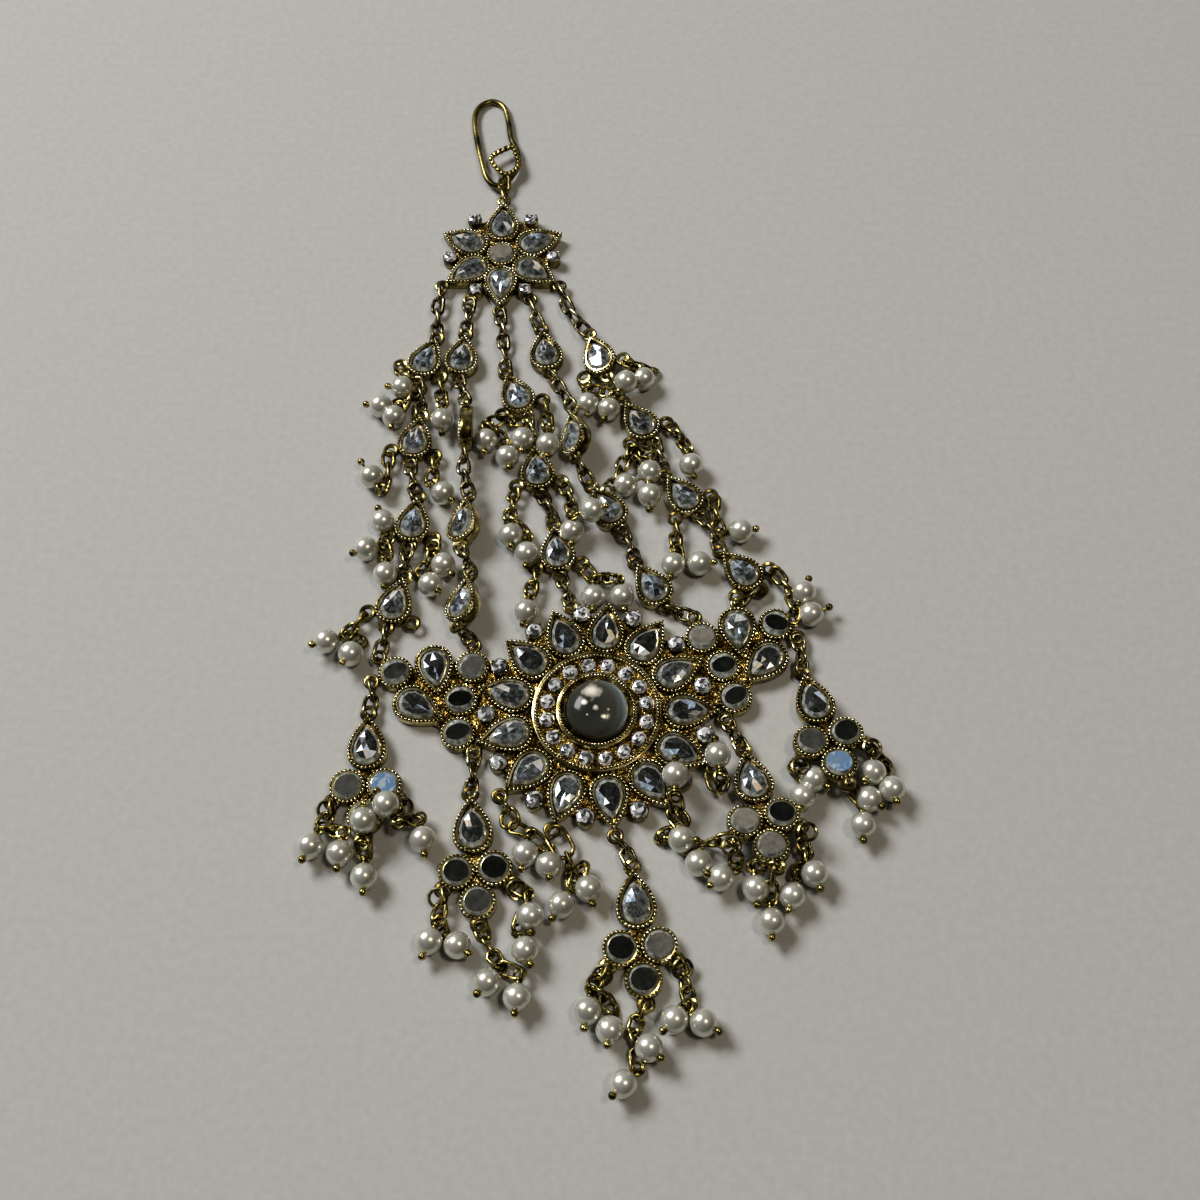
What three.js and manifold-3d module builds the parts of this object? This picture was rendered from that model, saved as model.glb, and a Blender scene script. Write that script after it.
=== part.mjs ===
// A jhoomar: a side ornament for the head, cast and soldered in antique gold metal and set with
// clear pear stones, small round mirrors, rhinestones and pearls. It lies face up on a flat
// surface at z = 0, with its hook towards +Y. The origin is the middle of the medallion's flat back.
import * as THREE from 'three';
import { mergeVertices } from 'three/addons/utils/BufferGeometryUtils.js';
import Module from 'manifold-3d';

const wasm = await Module();
wasm.setup();

// Driving dimensions, in millimetres.
const SETTING_HEIGHT = 2.2;
const BEZEL = 0.7;
const STONE_RISE = 0.5;
const SEAT_DEPTH = 1.3;
const GAP = 0.3;
const LINK_SETTING = { width: 5.9, length: 8.2 };
const CAST_SETTING = { width: 6.1, length: 8.8 };
const MIRROR_RADIUS = 2.8;
const MIRROR_HEIGHT = 2;
const RHINESTONE_RADIUS = 1.2;
const WEB_HEIGHT = 1.2;
const PEARL_RADIUS = 2;
const WIRE = 0.3;
const EYELET = { radius: 1, wire: 0.35, height: 1.3 };
const LINK_RADIUS = 1;
const LEAST_STRAIGHT = 0.1;
const SUNK = 0.5;
const FINEST_DETAIL = 0.05;
const TABLE = 0.55;
const PEAR_CORNERS = 8;
const CUT_SIDES = 8;
const ROUND_SIDES = 10;
const WIRE_SIDES = 5;
const RING_CORNERS = 10;
const PIN_SIDES = 4;
const DOME_SIDES = 16;
const DOME_STEPS = 4;
const PEAR_SWELL = 0.77;
const PEARL_SHOULDER = 0.45;

const CAST_TURN = 8;
const PETALS = 13;
const MIDDLE_SIDES = 20;
const PETAL_STONE_RADIUS = 14.4;
const NOTCH_RADIUS = 16.9;
const PLATE_RADIUS = 16.6;
const BAND = { inner: 9.2, outer: 9.9, height: 2.5 };
const BEZEL_RING = { inner: 5, outer: 6.1, height: 3.4, seat: 1.4 };
const CABOCHON = { radius: 4.7, girdle: 3.2, top: 5.4 };

const ROSETTE = { x: -17.2, y: 89.3, stoneRadius: 7.3, notchRadius: 9.3, plateRadius: 8.5 };
const ROSETTE_PETALS = [23, 90, 157, 214, 270, 326];

const COLOURS = { gold: 0xa98548, clear: 0x9aa1a6, dark: 0x2b2d30, pearl: 0xe9e5d8 };

// One wing's settings in the medallion's own axes, on its right side. The left wing mirrors it.
const WING_MIRRORS = [
  { x: 30, y: 11 },
  { x: 18.1, y: 10.3 },
  { x: 20.5, y: 5 },
  { x: 21.4, y: -0.4 },
];
const WING_PEARS = [
  { x: 23.9, y: 10.4, turn: 178 },
  { x: 26.8, y: 4.6, turn: 128 },
];
const WING_WEB = [[30, 11], [24, 12], [15, 11], [13, 5], [14, -1], [21.4, -1], [27.5, 4]];

// Eyelets in the medallion's own axes: where the strands end, then where the drops hang. The
// middle drop and the fringes hang from eyelets at the petals' tips.
const STRAND_ENDS = [
  { x: -32.4, y: 14.1 },
  { x: -17.5, y: 14.1 },
  { x: -1.6, y: 18.6 },
  { x: 17.5, y: 14.1 },
  { x: 24.8, y: 15.5 },
];
const DROP_ENDS = [
  { x: -33.8, y: 10.1 },
  { x: -19.3, y: -3.6 },
  { petal: 0 },
  { x: 19.3, y: -3.6 },
  { x: 32.9, y: 8.5 },
];
const PETAL_EYELET_RADIUS = 19.7;

// Eyelets of the rosette, by angle and distance from its middle.
const ROSETTE_CROWN = { angle: 90, radius: 12.6 };
const ROSETTE_EYELETS = [
  { angle: 214, radius: 12.6 },
  { angle: 242, radius: 11.4 },
  { angle: 270, radius: 12.6 },
  { angle: 298, radius: 11.4 },
  { angle: 326, radius: 12.6 },
];

// The five strands, left to right: pear links from the top down, and the pearls beside each.
// turn leans a pear's tip to the left, roll lays it over on its side, under names its pearls' pear.
const STRANDS = [
  {
    pears: [
      { x: -29.5, y: 66.5, turn: -20 },
      { x: -30.5, y: 50, turn: -8 },
      { x: -30, y: 34, turn: -6 },
      { x: -32, y: 19.2, turn: -15 },
    ],
    pearls: [
      { under: 0, side: -1, x: -33.4, y: 60 },
      { under: 0, side: -1, x: -36.8, y: 56.2 },
      { under: 0, side: -1, x: -34.4, y: 54 },
      { under: 0, side: 1, x: -26.2, y: 53.4 },
      { under: 1, side: -1, x: -37.4, y: 42.2 },
      { under: 1, side: 1, x: -25.4, y: 39 },
      { under: 2, side: -1, x: -37.3, y: 28.5 },
      { under: 2, side: 1, x: -24.7, y: 25.6 },
      { under: 2, side: 1, x: -26.6, y: 22 },
      { under: 3, side: -1, x: -42.4, y: 12 },
      { under: 3, side: -1, x: -38.4, y: 9.8 },
    ],
  },
  {
    pears: [
      { x: -23.4, y: 67, turn: -5 },
      { x: -20.9, y: 51.5, turn: 0, roll: -88 },
      { x: -20.8, y: 33.2, turn: -8, roll: -35 },
      { x: -20.3, y: 18.6, turn: -12, roll: -35 },
    ],
    pearls: [],
  },
  {
    pears: [
      { x: -13.9, y: 59, turn: 24 },
      { x: -10, y: 44, turn: 7 },
      { x: -6.5, y: 28.6, turn: 7 },
    ],
    pearls: [
      { under: 0, side: -1, x: -18.7, y: 49.3 },
      { under: 0, side: -1, x: -15, y: 46 },
      { under: 0, side: 1, x: -8.3, y: 48.5 },
      { under: 1, side: -1, x: -14, y: 31 },
      { under: 1, side: 1, x: -4.1, y: 31.8 },
      { under: 1, side: 1, x: -0.8, y: 34, z: 4.9 },
      { under: 2, side: -1, x: -11.2, y: 17.2 },
      { under: 2, side: 1, x: -0.6, y: 19.8 },
      { under: 2, side: 1, x: 3.9, y: 19.8 },
    ],
  },
  {
    pears: [
      { x: -9, y: 68, turn: 10 },
      { x: -2.8, y: 49.9, turn: 2, roll: -48 },
      { x: 1.5, y: 36.6, turn: 32 },
      { x: 8.6, y: 22.2, turn: 32 },
    ],
    pearls: [],
  },
  {
    pears: [
      { x: 0.5, y: 66.7, turn: 19, roll: -18 },
      { x: 7, y: 53.5, turn: 34 },
      { x: 14, y: 39, turn: 36 },
      { x: 23, y: 24.8, turn: 42 },
    ],
    pearls: [
      { under: 0, side: -1, x: -1.7, y: 56.6 },
      { under: 0, side: -1, x: 2, y: 55.6 },
      { under: 0, side: 1, x: 7.9, y: 61.8 },
      { under: 1, side: -1, x: 4.7, y: 40.6 },
      { under: 1, side: -1, x: 8.6, y: 38.6 },
      { under: 1, side: 1, x: 15.6, y: 44.4 },
      { under: 2, side: -1, x: 12.2, y: 25.6 },
      { under: 2, side: -1, x: 16.4, y: 25.8 },
      { under: 2, side: 1, x: 23.4, y: 31.8 },
      { under: 3, side: 1, x: 32.8, y: 20.6 },
      { under: 3, side: 1, x: 33.8, y: 16.7 },
    ],
  },
];

// The five drops: place of the pear, its turn and pitch, and the pearls of its three loops.
const DROPS = [
  {
    x: -34.8, y: -4.9, turn: 2, pitch: 0,
    pearls: [
      { root: 0, x: -42, y: -21.2, z: 2 },
      { root: 0, x: -37.6, y: -22.3, z: 2 },
      { root: 1, x: -31, y: -15.6, z: 4.3 },
      { root: 1, x: -25.6, y: -20.2, z: 2 },
      { root: 2, x: -33.8, y: -25.8, z: 2 },
      { root: 2, x: -34.2, y: -18, z: 4.1 },
    ],
  },
  {
    x: -18.4, y: -17.9, turn: 6, pitch: 0,
    pearls: [
      { root: 0, x: -23.9, y: -35.2, z: 2 },
      { root: 0, x: -19.8, y: -35.8, z: 2 },
      { root: 1, x: -9.6, y: -31.6, z: 2 },
      { root: 1, x: -10.2, y: -36.5, z: 2 },
      { root: 2, x: -15.4, y: -41, z: 2 },
      { root: 2, x: -11.2, y: -43.1, z: 2 },
    ],
  },
  {
    x: 5.6, y: -29.1, turn: 5, pitch: 0,
    pearls: [
      { root: 0, x: -1.3, y: -45, z: 2 },
      { root: 0, x: 1.8, y: -47.6, z: 2 },
      { root: 1, x: 10.8, y: -46.2, z: 2 },
      { root: 1, x: 14.8, y: -46.6, z: 2 },
      { root: 2, x: 7.2, y: -50, z: 2 },
      { root: 2, x: 3.6, y: -54.8, z: 2 },
    ],
  },
  {
    x: 23.2, y: -11, turn: 11, pitch: -10,
    pearls: [
      { root: 0, x: 14.8, y: -23.8, z: 2 },
      { root: 0, x: 18, y: -26, z: 2 },
      { root: 1, x: 31.6, y: -25.4, z: 2 },
      { root: 1, x: 28.2, y: -28.6, z: 2 },
      { root: 2, x: 23, y: -27.6, z: 2 },
      { root: 2, x: 25, y: -32.4, z: 2 },
    ],
  },
  {
    x: 33.2, y: 1.8, turn: 15, pitch: -8,
    pearls: [
      { root: 0, x: 32.4, y: -10.8, z: 2 },
      { root: 0, x: 30.6, y: -13.6, z: 2 },
      { root: 1, x: 41.4, y: -9.8, z: 2 },
      { root: 1, x: 44, y: -12.4, z: 2 },
      { root: 2, x: 40.4, y: -14, z: 2 },
      { root: 2, x: 39.2, y: -18, z: 2 },
    ],
  },
];

// A drop's mirrors, and the roots of its pearls' pins, from the middle of its pear with the tip up.
const DROP_MIRRORS = [{ x: -2.75, y: -6.9 }, { x: 2.75, y: -6.9 }, { x: 0, y: -11.6 }];
const DROP_WEB = [[-2.75, -6.9], [0, -11.6], [2.75, -6.9], [0, -2]];
const DROP_ROOTS = [{ x: -4.2, y: -8.4 }, { x: 4.2, y: -8.4 }, { x: 0, y: -13.5 }];

// The fringes on the medallion's lower petals, left to right: the petal, the knot that a link
// carries, and the pearls on it.
const FRINGES = [
  {
    petal: -2, x: -12.6, y: -18,
    pearls: [{ x: -10.5, y: -22.4, z: 2 }, { x: -7, y: -24.1, z: 2 }],
  },
  {
    petal: -1, x: -4.4, y: -22.4,
    pearls: [{ x: -5.1, y: -30, z: 2 }, { x: -1.2, y: -27.6, z: 2 }],
  },
  {
    petal: 1, x: 12.9, y: -17.9,
    pearls: [{ x: 11.6, y: -11.2, z: 4.8 }, { x: 12.4, y: -20.2, z: 2 }],
  },
  {
    petal: 2, x: 18.4, y: -12.4,
    pearls: [{ x: 18, y: -8, z: 4.6 }],
  },
];

// Where a strand's pearl pins leave their pear, from its middle with the tip up.
const PIN_ROOT = { x: 2, y: -2 };

const HOOK_WIRE = 0.55;
const HOOK_STEPS = 28;
const HOOK_SIDES = 6;
const HOOK_PATH = [
  [-20.3, 127.4], [-22.7, 125.8], [-23.4, 122.4], [-22.7, 117], [-21.5, 111], [-20.4, 107.2],
  [-18.6, 105.6], [-16.6, 107], [-15, 110.4], [-15, 114], [-16.3, 117.6], [-17, 122.4], [-18, 126],
];
const HOOK_HEIGHTS = [1.3, HOOK_WIRE];
const HOOK_RING = { radius: 1.4, thickness: 0.35, farEnd: [-18.4, 107] };

// Turns a closed geometry into a manifold solid and back.
function toSolid(geometry) {
  const bare = geometry.clone();
  bare.deleteAttribute('normal');
  bare.deleteAttribute('uv');
  const merged = mergeVertices(bare);
  return new wasm.Manifold(new wasm.Mesh({
    numProp: 3,
    vertProperties: new Float32Array(merged.attributes.position.array),
    triVerts: new Uint32Array(merged.index.array),
  }));
}

function toGeometry(solid) {
  const mesh = solid.getMesh();
  const geometry = new THREE.BufferGeometry();
  geometry.setAttribute('position', new THREE.BufferAttribute(mesh.vertProperties, 3));
  geometry.setIndex(new THREE.BufferAttribute(mesh.triVerts, 1));
  geometry.computeVertexNormals();
  return geometry;
}

// Solders overlapping pieces into one solid.
function solder(pieces) {
  let whole = toSolid(pieces[0]);
  for (const piece of pieces.slice(1)) {
    whole = whole.add(toSolid(piece));
  }
  return toGeometry(whole.asOriginal().simplify(FINEST_DETAIL));
}

// A closed solid through sections with the same number of points, flat at both ends.
function loft(sections) {
  const count = sections[0].length;
  const positions = sections.flat(2);
  const index = [];
  for (let level = 0; level < sections.length - 1; level += 1) {
    for (let i = 0; i < count; i += 1) {
      const a = level * count + i;
      const b = level * count + (i + 1) % count;
      index.push(a, b, b + count, a, b + count, a + count);
    }
  }
  const last = (sections.length - 1) * count;
  for (let i = 1; i < count - 1; i += 1) {
    index.push(0, i + 1, i);
    index.push(last, last + i, last + i + 1);
  }
  const geometry = new THREE.BufferGeometry();
  geometry.setAttribute('position', new THREE.Float32BufferAttribute(positions, 3));
  geometry.setIndex(index);
  geometry.computeVertexNormals();
  return geometry;
}

// A pear outline with its tip at +Y: x swells as sin(t) sin(t / 2), at most PEAR_SWELL.
function pearSection(width, length, z) {
  return Array.from({ length: PEAR_CORNERS }, (_, i) => {
    const t = (-2 * Math.PI * i) / PEAR_CORNERS;
    const swell = Math.abs(Math.sin(t / 2)) / PEAR_SWELL;
    return [(width / 2) * Math.sin(t) * swell, (length / 2) * Math.cos(t), z];
  });
}

function roundSection(radius, z, points) {
  return Array.from({ length: points }, (_, i) => {
    const t = (2 * Math.PI * i) / points;
    return [radius * Math.cos(t), radius * Math.sin(t), z];
  });
}

// A cast pear setting with its stone: wall, bezel edge, crown facets and table.
function pearWithStone({ width, length }) {
  const seat = [width - 2 * BEZEL, length - 2 * BEZEL];
  const table = [seat[0] * TABLE, seat[1] * TABLE];
  return loft([
    pearSection(width, length, 0),
    pearSection(width, length, SETTING_HEIGHT),
    pearSection(...seat, SETTING_HEIGHT),
    pearSection(...table, SETTING_HEIGHT + STONE_RISE),
  ]);
}

// The same setting with an open seat for a stone of its own.
function pearWithSeat({ width, length }) {
  const seat = [width - 2 * BEZEL, length - 2 * BEZEL];
  return loft([
    pearSection(width, length, 0),
    pearSection(width, length, SETTING_HEIGHT),
    pearSection(...seat, SETTING_HEIGHT),
    pearSection(...seat, SETTING_HEIGHT - SEAT_DEPTH),
  ]);
}

function pearStone({ width, length }) {
  const girdle = [width - 2 * BEZEL - 2 * GAP, length - 2 * BEZEL - 2 * GAP];
  const table = [girdle[0] * TABLE, girdle[1] * TABLE];
  return loft([
    pearSection(...girdle, SETTING_HEIGHT - SEAT_DEPTH + GAP),
    pearSection(...girdle, SETTING_HEIGHT),
    pearSection(...table, SETTING_HEIGHT + STONE_RISE),
  ]);
}

function mirror() {
  return loft([0, MIRROR_HEIGHT].map((z) => roundSection(MIRROR_RADIUS, z, ROUND_SIDES)));
}

// A round cut stone with eight crown facets, in a setting as wide as itself.
function rhinestone({ x, y }) {
  return loft([
    roundSection(RHINESTONE_RADIUS, 0, CUT_SIDES),
    roundSection(RHINESTONE_RADIUS, MIRROR_HEIGHT, CUT_SIDES),
    roundSection(RHINESTONE_RADIUS * TABLE, MIRROR_HEIGHT + STONE_RISE, CUT_SIDES),
  ]).translate(x, y, 0);
}

// A pearl as a barrel with pointed ends.
function pearl(x, y, z) {
  const profile = [[0, -1], [1, -PEARL_SHOULDER], [1, PEARL_SHOULDER], [0, 1]];
  const points = profile.map(([r, h]) => new THREE.Vector2(r, h).multiplyScalar(PEARL_RADIUS));
  return new THREE.LatheGeometry(points, ROUND_SIDES).rotateX(Math.PI / 2).translate(x, y, z);
}

// Moves what is made along Y round the origin to lie between two points.
function stretchBetween(geometry, from, to) {
  const along = new THREE.Vector3().subVectors(to, from).normalize();
  const turn = new THREE.Quaternion().setFromUnitVectors(new THREE.Vector3(0, 1, 0), along);
  return geometry.applyQuaternion(turn).translate(...from.clone().lerp(to, 0.5).toArray());
}

// A straight pin from one point to another.
function pin(from, to) {
  const rod = new THREE.CylinderGeometry(WIRE, WIRE, from.distanceTo(to), PIN_SIDES);
  return stretchBetween(rod, from, to);
}

// The ten corners of a long ring, on two half circles whose middles are apart along Y.
function ringCorners(straight) {
  return Array.from({ length: RING_CORNERS }, (_, i) => {
    const upper = i < RING_CORNERS / 2;
    const t = (Math.PI / (RING_CORNERS / 2 - 1)) * (i % (RING_CORNERS / 2)) + (upper ? 0 : Math.PI);
    return { t, y: (upper ? 1 : -1) * (straight / 2) };
  });
}

// A closed wire ring in the XY plane with straight sides of the given length along Y.
function wireRing(radius, straight, thickness) {
  const positions = [];
  for (const { t, y } of ringCorners(straight)) {
    for (let side = 0; side < WIRE_SIDES; side += 1) {
      const a = (2 * Math.PI * side) / WIRE_SIDES;
      const reach = radius + thickness * Math.cos(a);
      positions.push(reach * Math.cos(t), y + reach * Math.sin(t), thickness * Math.sin(a));
    }
  }
  const index = [];
  const count = RING_CORNERS * WIRE_SIDES;
  for (let a = 0; a < count; a += 1) {
    const b = a % WIRE_SIDES === WIRE_SIDES - 1 ? a + 1 - WIRE_SIDES : a + 1;
    const [c, d] = [(a + WIRE_SIDES) % count, (b + WIRE_SIDES) % count];
    index.push(a, c, b, b, c, d);
  }
  const geometry = new THREE.BufferGeometry();
  geometry.setAttribute('position', new THREE.Float32BufferAttribute(positions, 3));
  geometry.setIndex(index);
  geometry.computeVertexNormals();
  return geometry;
}

// The length of fine chain between two pears of a strand, as one closed flat link.
function chainLength(from, to) {
  const straight = Math.max(from.distanceTo(to) - 2 * LINK_RADIUS, LEAST_STRAIGHT);
  const plate = loft([-WIRE, WIRE].map((z) => ringCorners(straight).map(({ t, y }) => [
    LINK_RADIUS * Math.cos(t), y + LINK_RADIUS * Math.sin(t), z,
  ])));
  return stretchBetween(plate, from, to);
}

function eyelet({ x, y }) {
  return wireRing(EYELET.radius, LEAST_STRAIGHT, EYELET.wire).translate(x, y, EYELET.height);
}

// A long link standing on edge, with its end wires' middles at the two points.
function link(from, to, { radius, thickness } = { radius: LINK_RADIUS, thickness: WIRE }) {
  const along = new THREE.Vector3().subVectors(to, from);
  const yAxis = along.clone().normalize();
  const xAxis = new THREE.Vector3().crossVectors(yAxis, new THREE.Vector3(0, 0, 1)).normalize();
  const zAxis = new THREE.Vector3().crossVectors(xAxis, yAxis);
  const ring = wireRing(radius, along.length() - 2 * radius, thickness);
  ring.rotateY(Math.PI / 2).applyMatrix4(new THREE.Matrix4().makeBasis(xAxis, yAxis, zAxis));
  return ring.translate(...from.clone().lerp(to, 0.5).toArray());
}

// The matrix that lays a setting where it belongs: roll about its length, pitch, turn, then place.
function lay({ x, y, z = 0, turn = 0, roll = 0, pitch = 0 }) {
  const matrix = new THREE.Matrix4().makeTranslation(x, y, z);
  matrix.multiply(new THREE.Matrix4().makeRotationZ(THREE.MathUtils.degToRad(turn)));
  matrix.multiply(new THREE.Matrix4().makeRotationX(THREE.MathUtils.degToRad(pitch)));
  return matrix.multiply(new THREE.Matrix4().makeRotationY(THREE.MathUtils.degToRad(roll)));
}

function lift(pear) {
  return (LINK_SETTING.width / 2) * Math.abs(Math.sin(THREE.MathUtils.degToRad(pear.roll ?? 0)));
}

function around(angle, radius) {
  const t = THREE.MathUtils.degToRad(angle);
  return { x: radius * Math.cos(t), y: radius * Math.sin(t) };
}

function petalAngle(petal) {
  return -90 + (360 / PETALS) * petal;
}

// From the medallion's own axes to the part's.
function castPoint({ x, y }, z = EYELET.height) {
  return new THREE.Vector3(x, y, z).applyAxisAngle(
    new THREE.Vector3(0, 0, 1),
    THREE.MathUtils.degToRad(CAST_TURN),
  );
}

// The middle of an eyelet in the medallion's own axes.
function castEnd({ x, y, petal }) {
  return petal === undefined ? { x, y } : around(petalAngle(petal), PETAL_EYELET_RADIUS);
}

function mirrored({ x, y, turn = 0 }) {
  return { x: -x, y, turn: -turn };
}

function rosettePoint({ angle, radius }) {
  const { x, y } = around(angle, radius);
  return new THREE.Vector3(ROSETTE.x + x, ROSETTE.y + y, EYELET.height);
}

// The lathed middle of the medallion: band, halo floor, bezel ring and the cabochon's seat.
function medallionMiddle() {
  const profile = [
    [0, 0], [BAND.outer, 0], [BAND.outer, BAND.height], [BAND.inner, BAND.height],
    [BAND.inner, MIRROR_HEIGHT], [BEZEL_RING.outer, MIRROR_HEIGHT],
    [BEZEL_RING.outer, BEZEL_RING.height], [BEZEL_RING.inner, BEZEL_RING.height],
    [BEZEL_RING.inner, BEZEL_RING.seat], [0, BEZEL_RING.seat],
  ];
  const points = profile.map(([r, z]) => new THREE.Vector2(r, z));
  return new THREE.LatheGeometry(points, MIDDLE_SIDES).rotateX(Math.PI / 2);
}

function webPlate(outline) {
  const shape = new THREE.Shape(outline.map(([x, y]) => new THREE.Vector2(x, y)));
  return new THREE.ExtrudeGeometry(shape, { depth: WEB_HEIGHT, bevelEnabled: false });
}

function wingPieces(flip) {
  const side = (place) => (flip ? mirrored(place) : place);
  const outline = WING_WEB.map(([x, y]) => (flip ? [-x, y] : [x, y]));
  return [
    webPlate(outline),
    ...WING_MIRRORS.map((place) => mirror().applyMatrix4(lay(side(place)))),
    ...WING_PEARS.map((place) => pearWithStone(CAST_SETTING).applyMatrix4(lay(side(place)))),
  ];
}

function petalPlaces() {
  return Array.from({ length: PETALS }, (_, petal) => {
    const angle = petalAngle(petal);
    return { ...around(angle, PETAL_STONE_RADIUS), turn: angle - 90 };
  });
}

function medallion() {
  const pieces = [medallionMiddle(), loft([
    roundSection(PLATE_RADIUS, 0, MIDDLE_SIDES),
    roundSection(PLATE_RADIUS, WEB_HEIGHT, MIDDLE_SIDES),
  ])];
  for (const place of petalPlaces()) {
    pieces.push(pearWithSeat(CAST_SETTING).applyMatrix4(lay(place)));
  }
  for (let petal = 0; petal < PETALS; petal += 1) {
    pieces.push(rhinestone(around(petalAngle(petal + 0.5), NOTCH_RADIUS)));
  }
  for (const end of [...STRAND_ENDS, ...DROP_ENDS, ...FRINGES.map(({ petal }) => ({ petal }))]) {
    pieces.push(eyelet(castEnd(end)));
  }
  pieces.push(...wingPieces(false), ...wingPieces(true));
  return solder(pieces).rotateZ(THREE.MathUtils.degToRad(CAST_TURN));
}

function cabochon() {
  const rise = Array.from({ length: DOME_STEPS }, (_, i) => {
    const t = (Math.PI / 2) * (i / DOME_STEPS);
    return new THREE.Vector2(
      CABOCHON.radius * Math.cos(t),
      CABOCHON.girdle + (CABOCHON.top - CABOCHON.girdle) * Math.sin(t),
    );
  });
  const profile = [
    new THREE.Vector2(0, BEZEL_RING.seat + GAP),
    new THREE.Vector2(CABOCHON.radius, BEZEL_RING.seat + GAP),
    ...rise,
    new THREE.Vector2(0, CABOCHON.top),
  ];
  return new THREE.LatheGeometry(profile, DOME_SIDES).rotateX(Math.PI / 2);
}

function rosette() {
  const pieces = [
    loft([
      roundSection(ROSETTE.plateRadius, 0, MIDDLE_SIDES),
      roundSection(ROSETTE.plateRadius, WEB_HEIGHT, MIDDLE_SIDES),
    ]),
    mirror(),
  ];
  ROSETTE_PETALS.forEach((angle, i) => {
    const place = { ...around(angle, ROSETTE.stoneRadius), turn: angle - 90 };
    pieces.push(pearWithStone(CAST_SETTING).applyMatrix4(lay(place)));
    const next = ROSETTE_PETALS[i + 1] ?? ROSETTE_PETALS[0] + 360;
    pieces.push(rhinestone(around((angle + next) / 2, ROSETTE.notchRadius)));
  });
  for (const { angle, radius } of [ROSETTE_CROWN, ...ROSETTE_EYELETS]) {
    pieces.push(eyelet(around(angle, radius)));
  }
  return solder(pieces).translate(ROSETTE.x, ROSETTE.y, 0);
}

// The point at the tip (end = 1) or the round end (end = -1) of a pear link, mid-thickness.
function pearEnd(pear, end) {
  const inset = LINK_SETTING.length / 2 - SUNK;
  return new THREE.Vector3(0, end * inset, EYELET.height).applyMatrix4(lay({ ...pear, z: lift(pear) }));
}

function strand({ pears, pearls }, rosetteEyelet, castEyelet) {
  const pieces = pears.map((pear) => {
    const matrix = lay({ ...pear, z: lift(pear) });
    return pearWithStone(LINK_SETTING).applyMatrix4(matrix);
  });
  pieces.push(link(rosetteEyelet, pearEnd(pears[0], 1)));
  for (let i = 1; i < pears.length; i += 1) {
    pieces.push(chainLength(pearEnd(pears[i - 1], -1), pearEnd(pears[i], 1)));
  }
  pieces.push(link(castEyelet, pearEnd(pears.at(-1), -1)));
  for (const { under, side, x, y, z = PEARL_RADIUS } of pearls) {
    const root = new THREE.Vector3(side * PIN_ROOT.x, PIN_ROOT.y, EYELET.height);
    root.applyMatrix4(lay(pears[under]));
    pieces.push(pearl(x, y, z), pin(root, new THREE.Vector3(x, y, z)));
  }
  return solder(pieces);
}

function dropMatrix({ x, y, turn, pitch }) {
  const settled = -(CAST_SETTING.length / 2) * Math.sin(THREE.MathUtils.degToRad(pitch));
  return lay({ x, y, z: settled, turn, pitch });
}

function drop(place, castEyelet) {
  const matrix = dropMatrix(place);
  const tip = new THREE.Vector3(0, CAST_SETTING.length / 2 - SUNK, EYELET.height).applyMatrix4(matrix);
  const pieces = [
    pearWithSeat(CAST_SETTING).applyMatrix4(matrix),
    ...DROP_MIRRORS.map(({ x, y }) => mirror().translate(x, y, 0).applyMatrix4(matrix)),
    webPlate(DROP_WEB).applyMatrix4(matrix),
    link(castEyelet, tip),
  ];
  for (const { root, x, y, z } of place.pearls) {
    const start = new THREE.Vector3(DROP_ROOTS[root].x, DROP_ROOTS[root].y, EYELET.height);
    pieces.push(pearl(x, y, z), pin(start.applyMatrix4(matrix), new THREE.Vector3(x, y, z)));
  }
  return solder(pieces);
}

function fringe({ petal, x: knotX, y: knotY, pearls }) {
  const hole = castPoint(castEnd({ petal }));
  const knot = new THREE.Vector3(knotX, knotY, EYELET.height);
  const pieces = [link(hole, knot)];
  for (const { x, y, z } of pearls) {
    pieces.push(pearl(x, y, z), pin(knot, new THREE.Vector3(x, y, z)));
  }
  return solder(pieces);
}

function hook() {
  const ends = HOOK_PATH.map(([, y]) => y);
  const points = HOOK_PATH.map(([x, y]) => {
    const z = THREE.MathUtils.mapLinear(y, Math.min(...ends), Math.max(...ends), ...HOOK_HEIGHTS);
    return new THREE.Vector3(x, y, z);
  });
  const path = new THREE.CatmullRomCurve3(points, true);
  return new THREE.TubeGeometry(path, HOOK_STEPS, HOOK_WIRE, HOOK_SIDES, true);
}

function hookRing() {
  const height = HOOK_RING.radius + HOOK_RING.thickness;
  const hole = rosettePoint(ROSETTE_CROWN).setZ(height);
  return link(hole, new THREE.Vector3(...HOOK_RING.farEnd, height), HOOK_RING);
}

const group = new THREE.Group();

function addPiece(name, geometry, finish) {
  const shine = finish === 'gold' ? { metalness: 1, roughness: 0.35 } : { metalness: 0, roughness: 0.1 };
  const material = new THREE.MeshStandardMaterial({ color: COLOURS[finish], flatShading: true, ...shine });
  const mesh = new THREE.Mesh(geometry, material);
  mesh.name = name;
  group.add(mesh);
}

addPiece('hook', hook(), 'gold');
addPiece('hook_ring', hookRing(), 'gold');
addPiece('rosette', rosette(), 'gold');
addPiece('medallion', medallion(), 'gold');
addPiece('centre_stone', cabochon(), 'dark');
petalPlaces().forEach((place, i) => {
  const stone = pearStone(CAST_SETTING).applyMatrix4(lay(place));
  stone.rotateZ(THREE.MathUtils.degToRad(CAST_TURN));
  addPiece(`petal_stone_${String(i + 1).padStart(2, '0')}`, stone, 'clear');
});

STRANDS.forEach((row, i) => {
  const geometry = strand(row, rosettePoint(ROSETTE_EYELETS[i]), castPoint(STRAND_ENDS[i]));
  addPiece(`strand_${i + 1}`, geometry, 'gold');
});

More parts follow.
